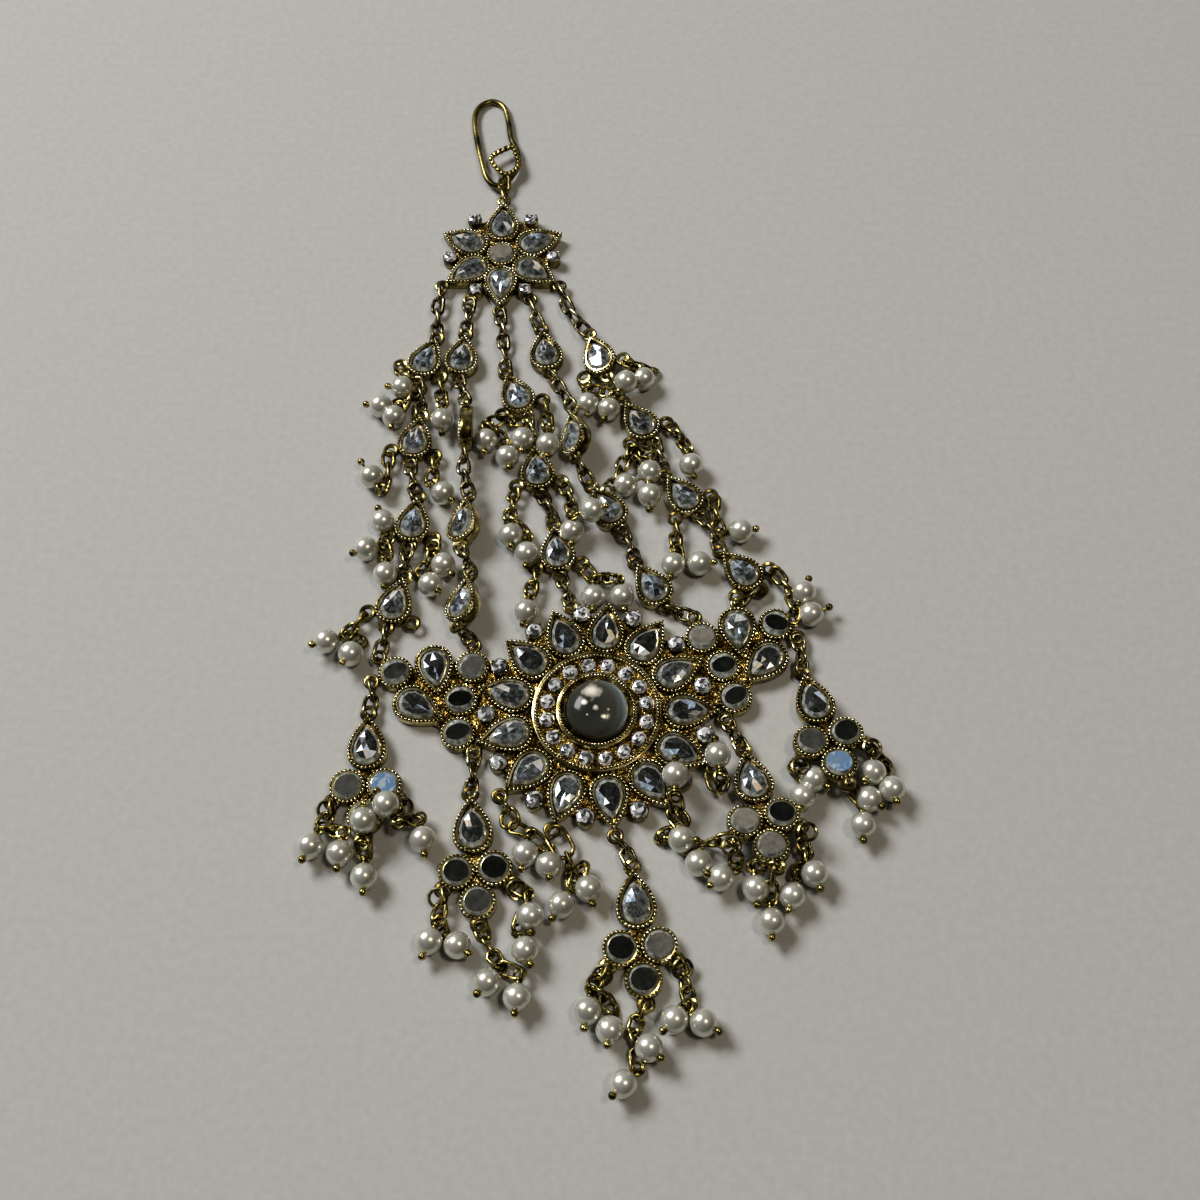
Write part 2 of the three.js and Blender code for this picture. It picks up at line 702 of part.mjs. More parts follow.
DROPS.forEach((row, i) => {
  addPiece(`drop_${i + 1}`, drop(row, castPoint(castEnd(DROP_ENDS[i]))), 'gold');
  addPiece(`drop_stone_${i + 1}`, pearStone(CAST_SETTING).applyMatrix4(dropMatrix(row)), 'clear');
});
FRINGES.forEach((row, i) => addPiece(`fringe_${i + 1}`, fringe(row), 'pearl'));

export default group;
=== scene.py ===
"""The looks of a jhoomar, an ornament worn at the side of the head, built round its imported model.

The sections follow the jewel as it is put together, from its largest casting outwards. Sizes are
in millimetres, and MM turns them into metres. It lies on its back on a flat surface at z = 0.
"""
import math

import bpy
import numpy as np
from mathutils import Matrix, Vector


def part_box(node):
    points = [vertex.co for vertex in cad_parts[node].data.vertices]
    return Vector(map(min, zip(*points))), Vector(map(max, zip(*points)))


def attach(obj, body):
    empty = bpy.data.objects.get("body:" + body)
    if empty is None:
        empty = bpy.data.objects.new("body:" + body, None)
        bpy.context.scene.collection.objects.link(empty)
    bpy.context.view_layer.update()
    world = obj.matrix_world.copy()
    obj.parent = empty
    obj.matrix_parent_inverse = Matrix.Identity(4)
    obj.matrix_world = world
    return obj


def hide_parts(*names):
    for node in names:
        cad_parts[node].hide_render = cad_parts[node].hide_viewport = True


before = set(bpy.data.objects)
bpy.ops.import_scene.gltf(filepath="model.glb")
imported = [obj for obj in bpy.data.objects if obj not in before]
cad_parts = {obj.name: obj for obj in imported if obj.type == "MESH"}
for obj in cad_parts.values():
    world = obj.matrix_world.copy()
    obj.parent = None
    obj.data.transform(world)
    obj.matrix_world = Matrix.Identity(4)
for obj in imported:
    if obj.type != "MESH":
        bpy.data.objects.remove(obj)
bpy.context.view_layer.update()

# ------------------------------------------------------------
# Medallion casting. One flat-backed casting of zinc alloy, plated antique gold: thirteen pear
# cups round a ringed middle, and on each side a wing of four round cups and two pear cups. It is
# cast in one pour, so the webs between the cups are the same metal as their walls.
MM = 0.001
CAST_CUP = (6.1, 8.8)
CUP_LEVELS = [(0.25, 0), (0.05, 0.4), (0, 1.5), (0.08, 1.85), (0.2, 1.95), (0.5, 1.9)]
WELL_LEVELS = [(0.58, 2.1), (0.7, 2.12), (0.85, 1.8), (1.3, 1.55)]
CAST_TURN = 8
PETALS = 13
PETAL_CUP_RADIUS = 14.4
NOTCH_RADIUS = 16.9
NOTCH_SCALE = np.diag([1.12, 1.12, 1.06, 1])
PLATE_RADIUS = 16.6
PLATE_HEIGHT = 1.2
WEB_HEIGHT = 1.3
EYELET_HEIGHT = 1.3
EYELET_RADIUS = 1.0
EYELET_WIRE = 0.34
PETAL_EYELET_RADIUS = 19.7
WING_MIRRORS = [(30, 11), (18.1, 10.3), (20.5, 5), (21.4, -0.4)]
WING_PEARS = [(23.9, 10.4, 178), (26.8, 4.6, 128)]
WING_WEB = [(30, 11), (24, 12), (15, 11), (13, 5), (14, -1), (21.4, -1), (27.5, 4)]
STRAND_ENDS = [(-32.4, 14.1), (-17.5, 14.1), (-1.6, 18.6), (17.5, 14.1), (24.8, 15.5)]
WING_DROP_ENDS = {1: (-33.8, 10.1), 2: (-19.3, -3.6), 4: (19.3, -3.6), 5: (32.9, 8.5)}
MIDDLE_DROP_PETAL = 0
FRINGE_PETALS = [-2, -1, 1, 2]


class Shape:
    """Points and faces of a form. Each face has a material slot and a tone from 0 to 1.

    A face has four corners, and the last one of a triangle is -1.
    """

    def __init__(self, points, faces, slot=0, tone=0.0):
        self.points = np.asarray(points, float).reshape(-1, 3)
        self.faces = np.asarray(faces, int).reshape(-1, 4)
        self.slot = np.full(len(self.faces), slot) if np.isscalar(slot) else np.asarray(slot)
        self.tone = np.full(len(self.faces), tone) if np.isscalar(tone) else np.asarray(tone)

    def at(self, places):
        """One copy of the form at each 4 x 4 matrix, as one form."""
        places = np.asarray(places, float).reshape(-1, 4, 4)
        points = np.einsum("kij,nj->kni", places[:, :3, :3], self.points)
        points = points + places[:, None, :3, 3]
        first = (np.arange(len(places)) * len(self.points))[:, None, None]
        faces = np.where(self.faces < 0, -1, self.faces + first)
        repeats = len(places)
        return Shape(points, faces, np.tile(self.slot, repeats), np.tile(self.tone, repeats))


def joined(shapes):
    """Several forms as one."""
    first = np.cumsum([0] + [len(shape.points) for shape in shapes])
    faces = [np.where(shape.faces < 0, -1, shape.faces + start)
             for shape, start in zip(shapes, first)]
    return Shape(np.concatenate([shape.points for shape in shapes]), np.concatenate(faces),
                 np.concatenate([shape.slot for shape in shapes]),
                 np.concatenate([shape.tone for shape in shapes]))


def skin(rings, slots=None, closed=False):
    """A solid's skin through rings of points, counter-clockwise and rising.

    Its ends close with a fan on the middle of the ring, or the last ring meets the first.
    slots gives the material slot of each band between two rings, and of the last end.
    """
    rings = np.asarray(rings, float)
    levels, count = rings.shape[:2]
    slots = slots or [0] * levels
    here, after = np.arange(count), np.roll(np.arange(count), -1)
    faces, face_slots = [], []
    for level in range(levels if closed else levels - 1):
        low, high = level * count, (level + 1) % levels * count
        faces.append(np.stack([here + low, after + low, after + high, here + high], 1))
        face_slots += [slots[level]] * count
    points = rings.reshape(-1, 3)
    if not closed:
        middles = len(points) + np.zeros((2, count), int) + [[0], [1]]
        open_corner = np.full(count, -1)
        faces.append(np.stack([after, here, middles[0], open_corner], 1))
        top = (levels - 1) * count
        faces.append(np.stack([here + top, after + top, middles[1], open_corner], 1))
        face_slots += [slots[0]] * count + [slots[-1]] * count
        points = np.concatenate([points, [rings[0].mean(0), rings[-1].mean(0)]])
    return Shape(points, np.concatenate(faces), face_slots)


def place(x=0.0, y=0.0, z=0.0, turn=0.0, pitch=0.0, roll=0.0):
    """The matrix that lays a form: roll about its length, pitch, turn, then move. In degrees."""
    matrix = Matrix.Translation((x, y, z)) @ Matrix.Rotation(math.radians(turn), 4, "Z")
    matrix = matrix @ Matrix.Rotation(math.radians(pitch), 4, "X")
    return np.array(matrix @ Matrix.Rotation(math.radians(roll), 4, "Y"))


def around(angle, radius):
    """The point at that angle in degrees and distance from the middle."""
    return radius * math.cos(math.radians(angle)), radius * math.sin(math.radians(angle))


def pear_ring(width, length, z, count=40, taper=1.0):
    """A pear outline with its tip at +Y. A taper of 1 comes to a point, and 0 is an oval."""
    t = -2 * math.pi * np.arange(count) / count
    swell = np.sin(t) * np.abs(np.sin(t / 2)) ** taper
    swell *= width / 2 / swell.max()
    return np.stack([swell, length / 2 * np.cos(t), t * 0 + z], 1)


def round_ring(radius, z, count=32):
    """A circle round the Z axis."""
    t = 2 * math.pi * np.arange(count) / count
    return np.stack([radius * np.cos(t), radius * np.sin(t), t * 0 + z], 1)


def pear_rings(size, levels):
    """Pear outlines by how far each is set in from the edge, and its height."""
    return [pear_ring(size[0] - 2 * inset, size[1] - 2 * inset, z) for inset, z in levels]


def pear_cup(size):
    """A pear setting: plated wall, then the amber well that holds the stone."""
    return skin(pear_rings(size, CUP_LEVELS + WELL_LEVELS),
                [0] * len(CUP_LEVELS) + [1] * len(WELL_LEVELS))


def round_cup(levels, well_from):
    """A round cup by its radii and heights. From level well_from on it is amber inside."""
    rings = [round_ring(radius, z) for radius, z in levels]
    return skin(rings, [int(level >= well_from) for level in range(len(levels))])


MIRROR_CUP = round_cup([(2.6, 0), (2.75, 0.4), (2.75, 1.5), (2.6, 1.75), (2.3, 1.75), (2.24, 1.95),
                        (2.18, 1.95), (2.1, 1.2)], well_from=5)
RHINESTONE_CUP = round_cup([(1.2, 0), (1.3, 0.4), (1.3, 1.9), (1.24, 2.0), (1.1, 1.7)],
                           well_from=4)
# A direction that no wire sets out along.
ASKEW = (0.3, 0.2, 1.0)


def tube(path, radius, sides=8, closed=True):
    """A round wire along a path of points."""
    path = np.asarray(path, float)
    if closed:
        along = np.roll(path, -1, 0) - np.roll(path, 1, 0)
    else:
        along = np.gradient(path, axis=0)
    along /= np.linalg.norm(along, axis=1)[:, None]
    across = np.cross(along[0], ASKEW)
    angles = 2 * math.pi * np.arange(sides)[:, None] / sides
    rings = []
    for point, direction in zip(path, along):
        across = across - direction * across.dot(direction)
        across /= np.linalg.norm(across)
        up = np.cross(direction, across)
        rings.append(point + radius * (across * np.cos(angles) + up * np.sin(angles)))
    return skin(rings, closed=closed)


def oval_path(radius, straight, count=20):
    """A flat ring with two straight sides along Y."""
    t = 2 * math.pi * np.arange(count) / count
    shift = np.sign(np.round(np.sin(t), 6)) * straight / 2
    return np.stack([radius * np.cos(t), radius * np.sin(t) + shift, t * 0], 1)


EYELET = tube(oval_path(EYELET_RADIUS, 0), EYELET_WIRE)


def slab(outline, height):
    """A flat plate with a counter-clockwise outline. Its top is amber."""
    rings = [[(x, y, z) for x, y in outline] for z in (0, height)]
    return skin(rings, [0, 1])


def linear(colour):
    """An sRGB hex colour as the linear colour that a shader takes."""
    parts = [int(colour[i:i + 2], 16) / 255 for i in (1, 3, 5)]
    return (*(c / 12.92 if c <= 0.04045 else ((c + 0.055) / 1.055) ** 2.4 for c in parts), 1.0)


def feed(tree, node, **inputs):
    """Gives a node's inputs a value, or links an output to them.

    An input's name is its socket's, with _ for a space, or i and its number.
    """
    for name, value in inputs.items():
        numbered = name[0] == "i" and name[1:].isdigit()
        socket = node.inputs[int(name[1:]) if numbered else name.replace("_", " ")]
        if isinstance(value, bpy.types.NodeSocket):
            tree.links.new(value, socket)
        else:
            socket.default_value = value


def add(tree, kind, settings=None, **inputs):
    """Adds a shader node of that kind with its settings and inputs. stops fills a colour ramp."""
    node = tree.nodes.new("ShaderNode" + kind)
    for name, value in (settings or {}).items():
        if name == "stops":
            ramp = node.color_ramp.elements
            while len(ramp) < len(value):
                ramp.new(1.0)
            for stop, (position, colour) in zip(ramp, value):
                stop.position, stop.color = position, linear(colour)
        else:
            setattr(node, name, value)
    feed(tree, node, **inputs)
    return node


def new_finish(name, **values):
    """A material with those values on its shader: (material, node tree, shader, object place)."""
    material = bpy.data.materials.new(name)
    material.use_nodes = True
    tree = material.node_tree
    shader = tree.nodes["Principled BSDF"]
    feed(tree, shader, **values)
    return material, tree, shader, add(tree, "TexCoord").outputs["Object"]


def per(size):
    """A pattern's scale from the size of its spots in millimetres."""
    return 1 / (size * MM)


def clouded(name, cloud, detail, stops, **values):
    """A finish whose colour drifts in clouds of that many millimetres. Returns the clouds too."""
    material, tree, shader, at = new_finish(name, **values)
    clouds = add(tree, "TexNoise", Vector=at, Scale=per(cloud), Detail=detail).outputs["Fac"]
    colour = add(tree, "ValToRGB", {"stops": stops}, Fac=clouds)
    feed(tree, shader, Base_Color=colour.outputs["Color"])
    return material, tree, shader, at, clouds


def patina_metal(name, patch, colours, crease, shine):
    """A metal whose colour runs in patches from dark to rubbed bright, with painted shade in its
    creases.

    patch and crease are sizes in millimetres. shine is the roughness of dark and bright patches.
    Returns what new_finish does.
    """
    material, tree, shader, at = new_finish(name, Metallic=1.0)
    patches = add(tree, "TexNoise", Vector=at, Scale=per(patch), Detail=4.0).outputs["Fac"]
    plate = add(tree, "ValToRGB", {"stops": list(zip((0.37, 0.5, 0.63), colours))}, Fac=patches)
    # Painted shade: occlusion darkens the creases nearly to black, standing also for the dark
    # patina there.
    hollow = add(tree, "AmbientOcclusion", {"only_local": True, "samples": 8},
                 Distance=crease * MM)
    crease_patina_and_painted_shade = add(tree, "ValToRGB", {"stops": [(0.48, "#120d04"), (0.92, "#ffffff")]},
               Fac=hollow.outputs["AO"])
    shade = add(tree, "Mix", {"data_type": "RGBA", "blend_type": "MULTIPLY"},
                i0=1.0, i6=plate.outputs["Color"], i7=crease_patina_and_painted_shade.outputs["Color"])
    dull = add(tree, "MapRange", i0=patches, i1=0.3, i2=0.7, i3=shine[0], i4=shine[1])
    feed(tree, shader, Base_Color=shade.outputs["Result"], Roughness=dull.outputs["Result"])
    return material, tree, shader, at


# Antique gold plate on a cast wall: bright where it is rubbed, olive-brown in patches of patina and
# nearly black in the creases, from dark patina and painted shade together, with the faint grain of
# the mould.
plate_gold, tree, shader, at = patina_metal(
    "antique_gold_plate", 2.5, ("#2e2712", "#7d6e3b", "#d2c080"), 0.9, (0.36, 0.16))
grain = add(tree, "TexNoise", Vector=at, Scale=per(0.35), Detail=3.0)
bump = add(tree, "Bump", Height=grain.outputs["Fac"], Distance=0.05 * MM, Strength=0.5)
feed(tree, shader, Normal=bump.outputs["Normal"])

# Amber gold lacquer in the wells and on the webs: yellow and wet-looking, pooled brown where the
# lacquer ran thick.
amber_gold, tree, shader, at, pools = clouded(
    "amber_gold_lacquer", 1.6, 5.0, [(0.43, "#2d1f08"), (0.55, "#8a6d2c"), (0.67, "#e6ca74")],
    Metallic=1.0, Coat_Weight=0.5, Coat_Roughness=0.1)
ripples = add(tree, "TexNoise", Vector=at, Scale=per(0.7), Detail=2.0)
bump = add(tree, "Bump", Height=ripples.outputs["Fac"], Distance=0.35 * MM, Strength=0.9)
dull = add(tree, "MapRange", i0=pools, i1=0.3, i2=0.7, i3=0.32, i4=0.16)
feed(tree, shader, Roughness=dull.outputs["Result"], Normal=bump.outputs["Normal"])


def make_piece(name, shape, materials, replaces, crisp=50):
    """Makes the object from a form in millimetres. It rides on the jewel's one body.

    Edges that turn by more than crisp degrees stay sharp.
    """
    corners = shape.faces.ravel()
    sizes = np.where(shape.faces[:, 3] < 0, 3, 4)
    mesh = bpy.data.meshes.new(name)
    mesh.vertices.add(len(shape.points))
    mesh.vertices.foreach_set("co", (shape.points * MM).ravel())
    mesh.loops.add(int(sizes.sum()))
    mesh.loops.foreach_set("vertex_index", corners[corners >= 0])
    mesh.polygons.add(len(sizes))
    mesh.polygons.foreach_set("loop_start", np.cumsum(sizes) - sizes)
    mesh.polygons.foreach_set("material_index", shape.slot.astype(np.int32))
    mesh.polygons.foreach_set("use_smooth", np.full(len(sizes), crisp > 0))
    mesh.update(calc_edges=True)
    mesh.attributes.new("tone", "FLOAT", "FACE").data.foreach_set("value", shape.tone)
    mesh.set_sharp_from_angle(angle=math.radians(crisp))
    for material in materials:
        mesh.materials.append(material)
    piece = bpy.data.objects.new(name, mesh)
    bpy.context.scene.collection.objects.link(piece)
    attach(piece, "root")
    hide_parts(*replaces)


def petal_angle(petal):
    return -90 + 360 / PETALS * petal


petal_places = [place(*around(angle, PETAL_CUP_RADIUS), turn=angle - 90)
                for angle in map(petal_angle, range(PETALS))]
wing_pear_places, wing_mirror_places, webs = [], [], []
for side in (1, -1):
    wing_pear_places += [place(side * x, y, turn=side * turn) for x, y, turn in WING_PEARS]
    wing_mirror_places += [place(side * x, y) for x, y in WING_MIRRORS]
    webs.append(slab([(side * x, y) for x, y in WING_WEB[::side]], WEB_HEIGHT))
notch_places = [place(*around(petal_angle(petal + 0.5), NOTCH_RADIUS)) @ NOTCH_SCALE
                for petal in range(PETALS)]
petal_eyelets = {petal: around(petal_angle(petal), PETAL_EYELET_RADIUS)
                 for petal in [MIDDLE_DROP_PETAL, *FRINGE_PETALS]}
eyelet_points = [*STRAND_ENDS, *WING_DROP_ENDS.values(), *petal_eyelets.values()]

# The turned middle: band, halo floor, then the bezel that holds the domed stone.
MIDDLE_LEVELS = [(9.95, 0), (9.95, 2.3), (9.8, 2.4), (9.25, 2.4), (9.1, 2.0), (6.3, 2.0),
                 (6.2, 2.9), (5.9, 3.1), (5.6, 3.1), (5.2, 2.6), (4.9, 2.5), (4.9, 1.4)]
middle = skin([round_ring(radius, z, 64) for radius, z in MIDDLE_LEVELS],
              [0] * 4 + [1, 0, 0] + [1] * 5)
plate = slab(round_ring(PLATE_RADIUS, 0, 64)[:, :2], PLATE_HEIGHT)

cast = place(turn=CAST_TURN)
make_piece("medallion_casting", joined([
    middle, plate, *webs,
    pear_cup(CAST_CUP).at(petal_places + wing_pear_places),
    MIRROR_CUP.at(wing_mirror_places),
    RHINESTONE_CUP.at(notch_places),
    EYELET.at([place(x, y, EYELET_HEIGHT) for x, y in eyelet_points]),
]).at(cast), [plate_gold, amber_gold], ["medallion"])

# ------------------------------------------------------------
# Medallion rope edges. Each cup, the band and the bezel carry a rope of slanted grains, cut into
# the master model and cast with the rest. The real grains are 0.5 mm apart, drawn 0.62 mm to show.
GRAIN_PITCH = 0.62
GRAIN_HALF = (0.38, 0.24, 0.32)
GRAIN_SLANT = 42
CUP_ROPE = (0.3, 1.98)
MIRROR_ROPE = (2.46, 1.78)
LIP_WIRE = 0.15
CUP_LIP = (0.72, 2.1)
MIRROR_LIP = (2.2, 1.95)
BAND_RADIUS = 9.55
BEZEL_RADIUS = 5.85
# Of the band and of the bezel: a rope's radius and height, its grain's scale, then a plain wire's
# radius and height.
MIDDLE_EDGES = [((BAND_RADIUS - 0.2, 2.4), 0.85, (BAND_RADIUS + 0.25, 2.4)),
                ((BEZEL_RADIUS - 0.15, 3.1), 0.8, (BEZEL_RADIUS + 0.25, 2.98))]
MIDDLE_WIRE = 0.12


def ball(half, sides=8, levels=4):
    """A ball with its three half sizes."""
    heights = [-math.cos(math.pi * level / levels) for level in range(1, levels)]
    shape = skin([round_ring(math.sqrt(1 - z * z), z, sides) for z in heights])
    shape.points[-2:] = [(0, 0, -1), (0, 0, 1)]
    shape.points *= half
    return shape


def rope(path, scale=1.0):
    """A rope of slanted grains along a closed path."""
    path = np.asarray(path, float)
    ends = np.roll(path, -1, 0)
    steps = np.linalg.norm(ends - path, axis=1)
    total = steps.sum()
    count = round(total / (GRAIN_PITCH * scale))
    travelled = np.cumsum(steps) - steps
    grains = []
    for distance in total * np.arange(count) / count:
        i = np.searchsorted(travelled, distance, side="right") - 1
        point = path[i] + (ends[i] - path[i]) * (distance - travelled[i]) / steps[i]
        heading = math.degrees(math.atan2(*(ends[i] - path[i])[1::-1]))
        grains.append(place(*point, turn=heading + GRAIN_SLANT))
    return ball(np.array(GRAIN_HALF) * scale).at(grains)


def cup_edges(size):
    """A pear cup's rope, and inside it the plain lip that holds the stone."""
    rope_path, lip_path = pear_rings(size, [CUP_ROPE, CUP_LIP])
    return joined([rope(rope_path), tube(lip_path, LIP_WIRE, 5)])


MIRROR_EDGES = joined([rope(round_ring(*MIRROR_ROPE)), tube(round_ring(*MIRROR_LIP), LIP_WIRE, 5)])

# The same plate on grains that polishing has rubbed bright, with brown patina and painted shade
# left between them.
rope_gold = patina_metal(
    "rubbed_gold_plate", 1.8, ("#6a5c2e", "#c3b478", "#fff6cc"), 0.4, (0.28, 0.14))[0]

middle_edges = []
for rope_at, scale, wire_at in MIDDLE_EDGES:
    middle_edges.append(rope(round_ring(*rope_at, 96), scale))
    middle_edges.append(tube(round_ring(*wire_at, 64), MIDDLE_WIRE, 6))
make_piece("medallion_rope_edges", joined([
    cup_edges(CAST_CUP).at(petal_places + wing_pear_places),
    MIRROR_EDGES.at(wing_mirror_places), *middle_edges,
]).at(cast), [rope_gold], ["medallion"])

# ------------------------------------------------------------
# Pear stones. Glass cut as a pear, silvered on its back, and glued into its well nearer the round
# end. The cut edge is painted pale with the light it gathers, and the table is painted with the
# dark and bright reflections of the back facets.
STONE_INSET = 0.98
STONE_SHIFT = -0.5
STONE_TAPER = 0.62
STONE_LEVELS = [(1, 1.1), (1, 1.75), (0.95, 2.0), (0.76, 2.4)]
STONE_SIDES = 12
INNER_RING = 0.5
TABLE_RISE = 0.12
FACET_TILT = 0.16
PAINTED_FLASH_FACETS = (2, 5)
PAINTED_FLASH_TONES = (0.66, 1.0)
facet_dice = np.random.default_rng(11)


def pear_stone(size, ground=(0.1, 0.4), spread=0.07, painted_flash_from=(0, 24)):
    """One cut stone. Its back facets lean at random to catch their own light, and each is painted
    its own reflection.

    ground is the range of its darker painted reflection, and spread is how far its facets depart
    from that.
    A few facets side by side have much brighter painted glints, from one of painted_flash_from on.
    Facet 0 is at the tip.
    """
    width, length = size[0] - 2 * STONE_INSET, size[1] - 2 * STONE_INSET - abs(STONE_SHIFT)
    half = STONE_SIDES // 2
    rings = [pear_ring(width * scale, length * scale, z, STONE_SIDES, STONE_TAPER)
             for scale, z in STONE_LEVELS]
    wall = skin(rings, [1, 1, 1, 0])
    # The faceted table closes the wall in place of its plain top.
    wall = Shape(wall.points[:-1], wall.faces[:-STONE_SIDES], wall.slot[:-STONE_SIDES])
    inner = rings[-1][1::2] * (INNER_RING, INNER_RING, 1)
    inner[:, 2] += facet_dice.uniform(-FACET_TILT, FACET_TILT, half) + TABLE_RISE
    middle_at = (0, 0, STONE_LEVELS[-1][1] + TABLE_RISE)
    faces = []
    for i in range(half):
        outer, late, later = 2 * i, 2 * i + 1, (2 * i + 2) % STONE_SIDES
        near, far = STONE_SIDES + i, STONE_SIDES + (i + 1) % half
        faces += [(outer, late, near, -1), (late, later, near, -1)]
        faces += [(later, far, near, -1), (near, far, STONE_SIDES + half, -1)]
    # Painted reflections: a darker tone for each facet, then a few painted glints.
    painted_reflection_tones = facet_dice.uniform(*ground) + facet_dice.normal(0, spread, len(faces))
    painted_flash = facet_dice.integers(*painted_flash_from) + np.arange(facet_dice.integers(*PAINTED_FLASH_FACETS))
    painted_reflection_tones[painted_flash % len(faces)] = facet_dice.uniform(*PAINTED_FLASH_TONES)
    table = Shape(np.concatenate([rings[-1], inner, [middle_at]]), faces, 0, painted_reflection_tones)
    return joined([wall, table]).at(place(y=STONE_SHIFT))


def silvered(name, metallic, roughness, pattern, spread, stops):
    """Silvered glass with painted reflections. A face is as light or dark as its own tone, broken
    up by a pattern.

    pattern is its node's kind, output and inputs. spread is its lowest and highest value, then
    what each adds to the tone.
    """
    material, tree, shader, at = new_finish(
        name, Metallic=metallic, Roughness=roughness, Coat_Weight=1.0, Coat_Roughness=0.02)
    kind, output, inputs = pattern
    own = add(tree, "Attribute", {"attribute_name": "tone"})
    broken = add(tree, kind, Vector=at, **inputs)
    low, high, darkest, lightest = spread
    extra = add(tree, "MapRange", i0=broken.outputs[output], i1=low, i2=high, i3=darkest,
                i4=lightest)
    tone = add(tree, "Math", {"operation": "ADD"}, i0=own.outputs["Fac"],
               i1=extra.outputs["Result"])
    colour = add(tree, "ValToRGB", {"stops": stops}, Fac=tone.outputs["Value"])
    feed(tree, shader, Base_Color=colour.outputs["Color"])
    return material


# Silvered cut glass, its reflections painted: a mirror seen through glass, painted from nearly
# black to window-white by facet, with painted glints, broken into finer painted splinters of light
# and dark.
cut_glass = silvered(
    "silvered_cut_glass_painted_reflections", 0.45, 0.12,
    ("TexNoise", "Fac", {"Scale": per(1.2), "Detail": 4.0, "Distortion": 2.2}),
    (0.3, 0.7, -0.22, 0.2),
    [(0.0, "#171816"), (0.25, "#343633"), (0.45, "#676c69"), (0.6, "#9aa7ad"), (0.72, "#b4d6f2"),
     (0.86, "#ffffff"), (1.0, "#ffe7b4")])

# The clear cut edge, painted the pale grey of the light that it gathers from all round.
glass_edge = clouded(
    "clear_glass_edge_painted_light", 0.8, 3.0, [(0.36, "#50534d"), (0.5, "#81847c"), (0.64, "#b2b4ab")],
    Metallic=0.0, Roughness=0.15, Coat_Weight=1.0, Coat_Roughness=0.03)[0]

petal_stones = [f"petal_stone_{petal + 1:02d}" for petal in range(PETALS)]
make_piece("medallion_pear_stones", joined(
    [pear_stone(CAST_CUP).at(spot) for spot in petal_places + wing_pear_places]).at(cast),
    [cut_glass, glass_edge], petal_stones, crisp=0)

# ------------------------------------------------------------
# Medallion mirrors. Small round mirrors of bevelled glass in rope-edged cups, four on each wing.
# The bevel is painted pale with the light it gathers. The flat table is painted with what it would
# mirror from above: most nearly black or grey, and two of the drops' sky blue.
MIRROR_LEVELS = [(2.15, 1.5), (2.15, 1.9), (2.05, 2.05)]
MIRROR_TABLE = (1.85, 2.5)
WING_NARROW = 1.3
MIRROR_SIDES = 28
MIRROR_TURNS = (-50, 30)
MIRROR_CRISP = 20
# The painted reflection in each wing mirror's table, from dark to pale.
WING_PAINTED_REFLECTIONS = [0.05, 0.75, 0.1, 0.15, 0.3, 0.55, 0.02, 0.18]


def mirror(tone, narrow):
    """A round glass whose bevel rises to a smaller oval table. Ground by hand, each at an angle."""
    wide, z = MIRROR_TABLE
    rings = [round_ring(radius, height, MIRROR_SIDES) for radius, height in MIRROR_LEVELS]
    table = round_ring(1, z, MIRROR_SIDES) * (wide, narrow, 1)
    shape = skin([*rings, table], [1, 1, 1, 0])
    # The tone is the painted reflection in the table.
    shape.tone[:] = tone
    return shape.at(place(turn=facet_dice.uniform(*MIRROR_TURNS)))


# Silvered sheet glass: a smooth flat table painted as dark or light as what it reflects, foxed in
# places.
mirror_glass = silvered(
    "silvered_sheet_glass_painted_reflections", 0.5, 0.06,
    ("TexNoise", "Fac", {"Scale": per(1.4), "Detail": 6.0, "Roughness": 0.65}),
    (0.3, 0.7, -0.12, 0.12),
    [(0.0, "#0e0f0c"), (0.25, "#2c2d27"), (0.55, "#6c6c64"), (0.8, "#b3aa97"), (0.88, "#9fb9d0"),
     (0.95, "#74a9dc"), (1.0, "#dceefb")])

make_piece("medallion_mirrors", joined(
    [mirror(tone, WING_NARROW).at(spot)
     for tone, spot in zip(WING_PAINTED_REFLECTIONS, wing_mirror_places)]).at(cast),
    [mirror_glass, glass_edge], ["medallion"], MIRROR_CRISP)

# ------------------------------------------------------------
# Medallion rhinestones. Foil-backed glass chatons: thirteen in the notches between the petals and
# sixteen in the halo, each held by four grains of metal pushed over its edge.
HALO_STONES = 16
HALO_RADIUS = 7.75
HALO_START = 92
HALO_RISE = 0.1
CHATON_SIDES = 8
CHATON_LEVELS = [(1.15, 1.9), (1.22, 2.1), (0.95, 2.4), (0.6, 2.6)]
PRONG = (0.2, 0.2, 0.26)
PRONG_RING = (1.22, 2.15)
CHATON_PAINTED_REFLECTIONS = [0.0, 0.15, 0.4, 0.85, 1.0]


def chaton():
    """One round stone with eight facets in each ring, turned by half a facet ring by ring."""
    rings = []
    for level, (radius, z) in enumerate(CHATON_LEVELS):
        turned = place(turn=180 / CHATON_SIDES * level)[:3, :3]
        rings.append(turned.dot(round_ring(radius, z, CHATON_SIDES).T).T)
    shape = skin(rings)
    # Each facet is painted its own reflection, from dark to bright.
    shape.tone = facet_dice.choice(CHATON_PAINTED_REFLECTIONS, len(shape.faces))
    return shape


def prongs(spots):
    """Four grains round each stone's edge."""
    grains = ball(PRONG, 6).at([place(*around(45 + 90 * i, PRONG_RING[0]), PRONG_RING[1])
                                for i in range(4)])
    return grains.at(spots)


# Foil-backed chaton glass: silver facets, each painted light or dark on its own, with small painted
# sparks.
chaton_glass = silvered(
    "foiled_chaton_glass_painted_reflections", 0.35, 0.1, ("TexVoronoi", "Color", {"Scale": per(0.26)}),
    (0, 1, -0.12, 0.12),
    [(0.0, "#30312e"), (0.25, "#6f706c"), (0.55, "#c2c4c2"), (1.0, "#ffffff")])

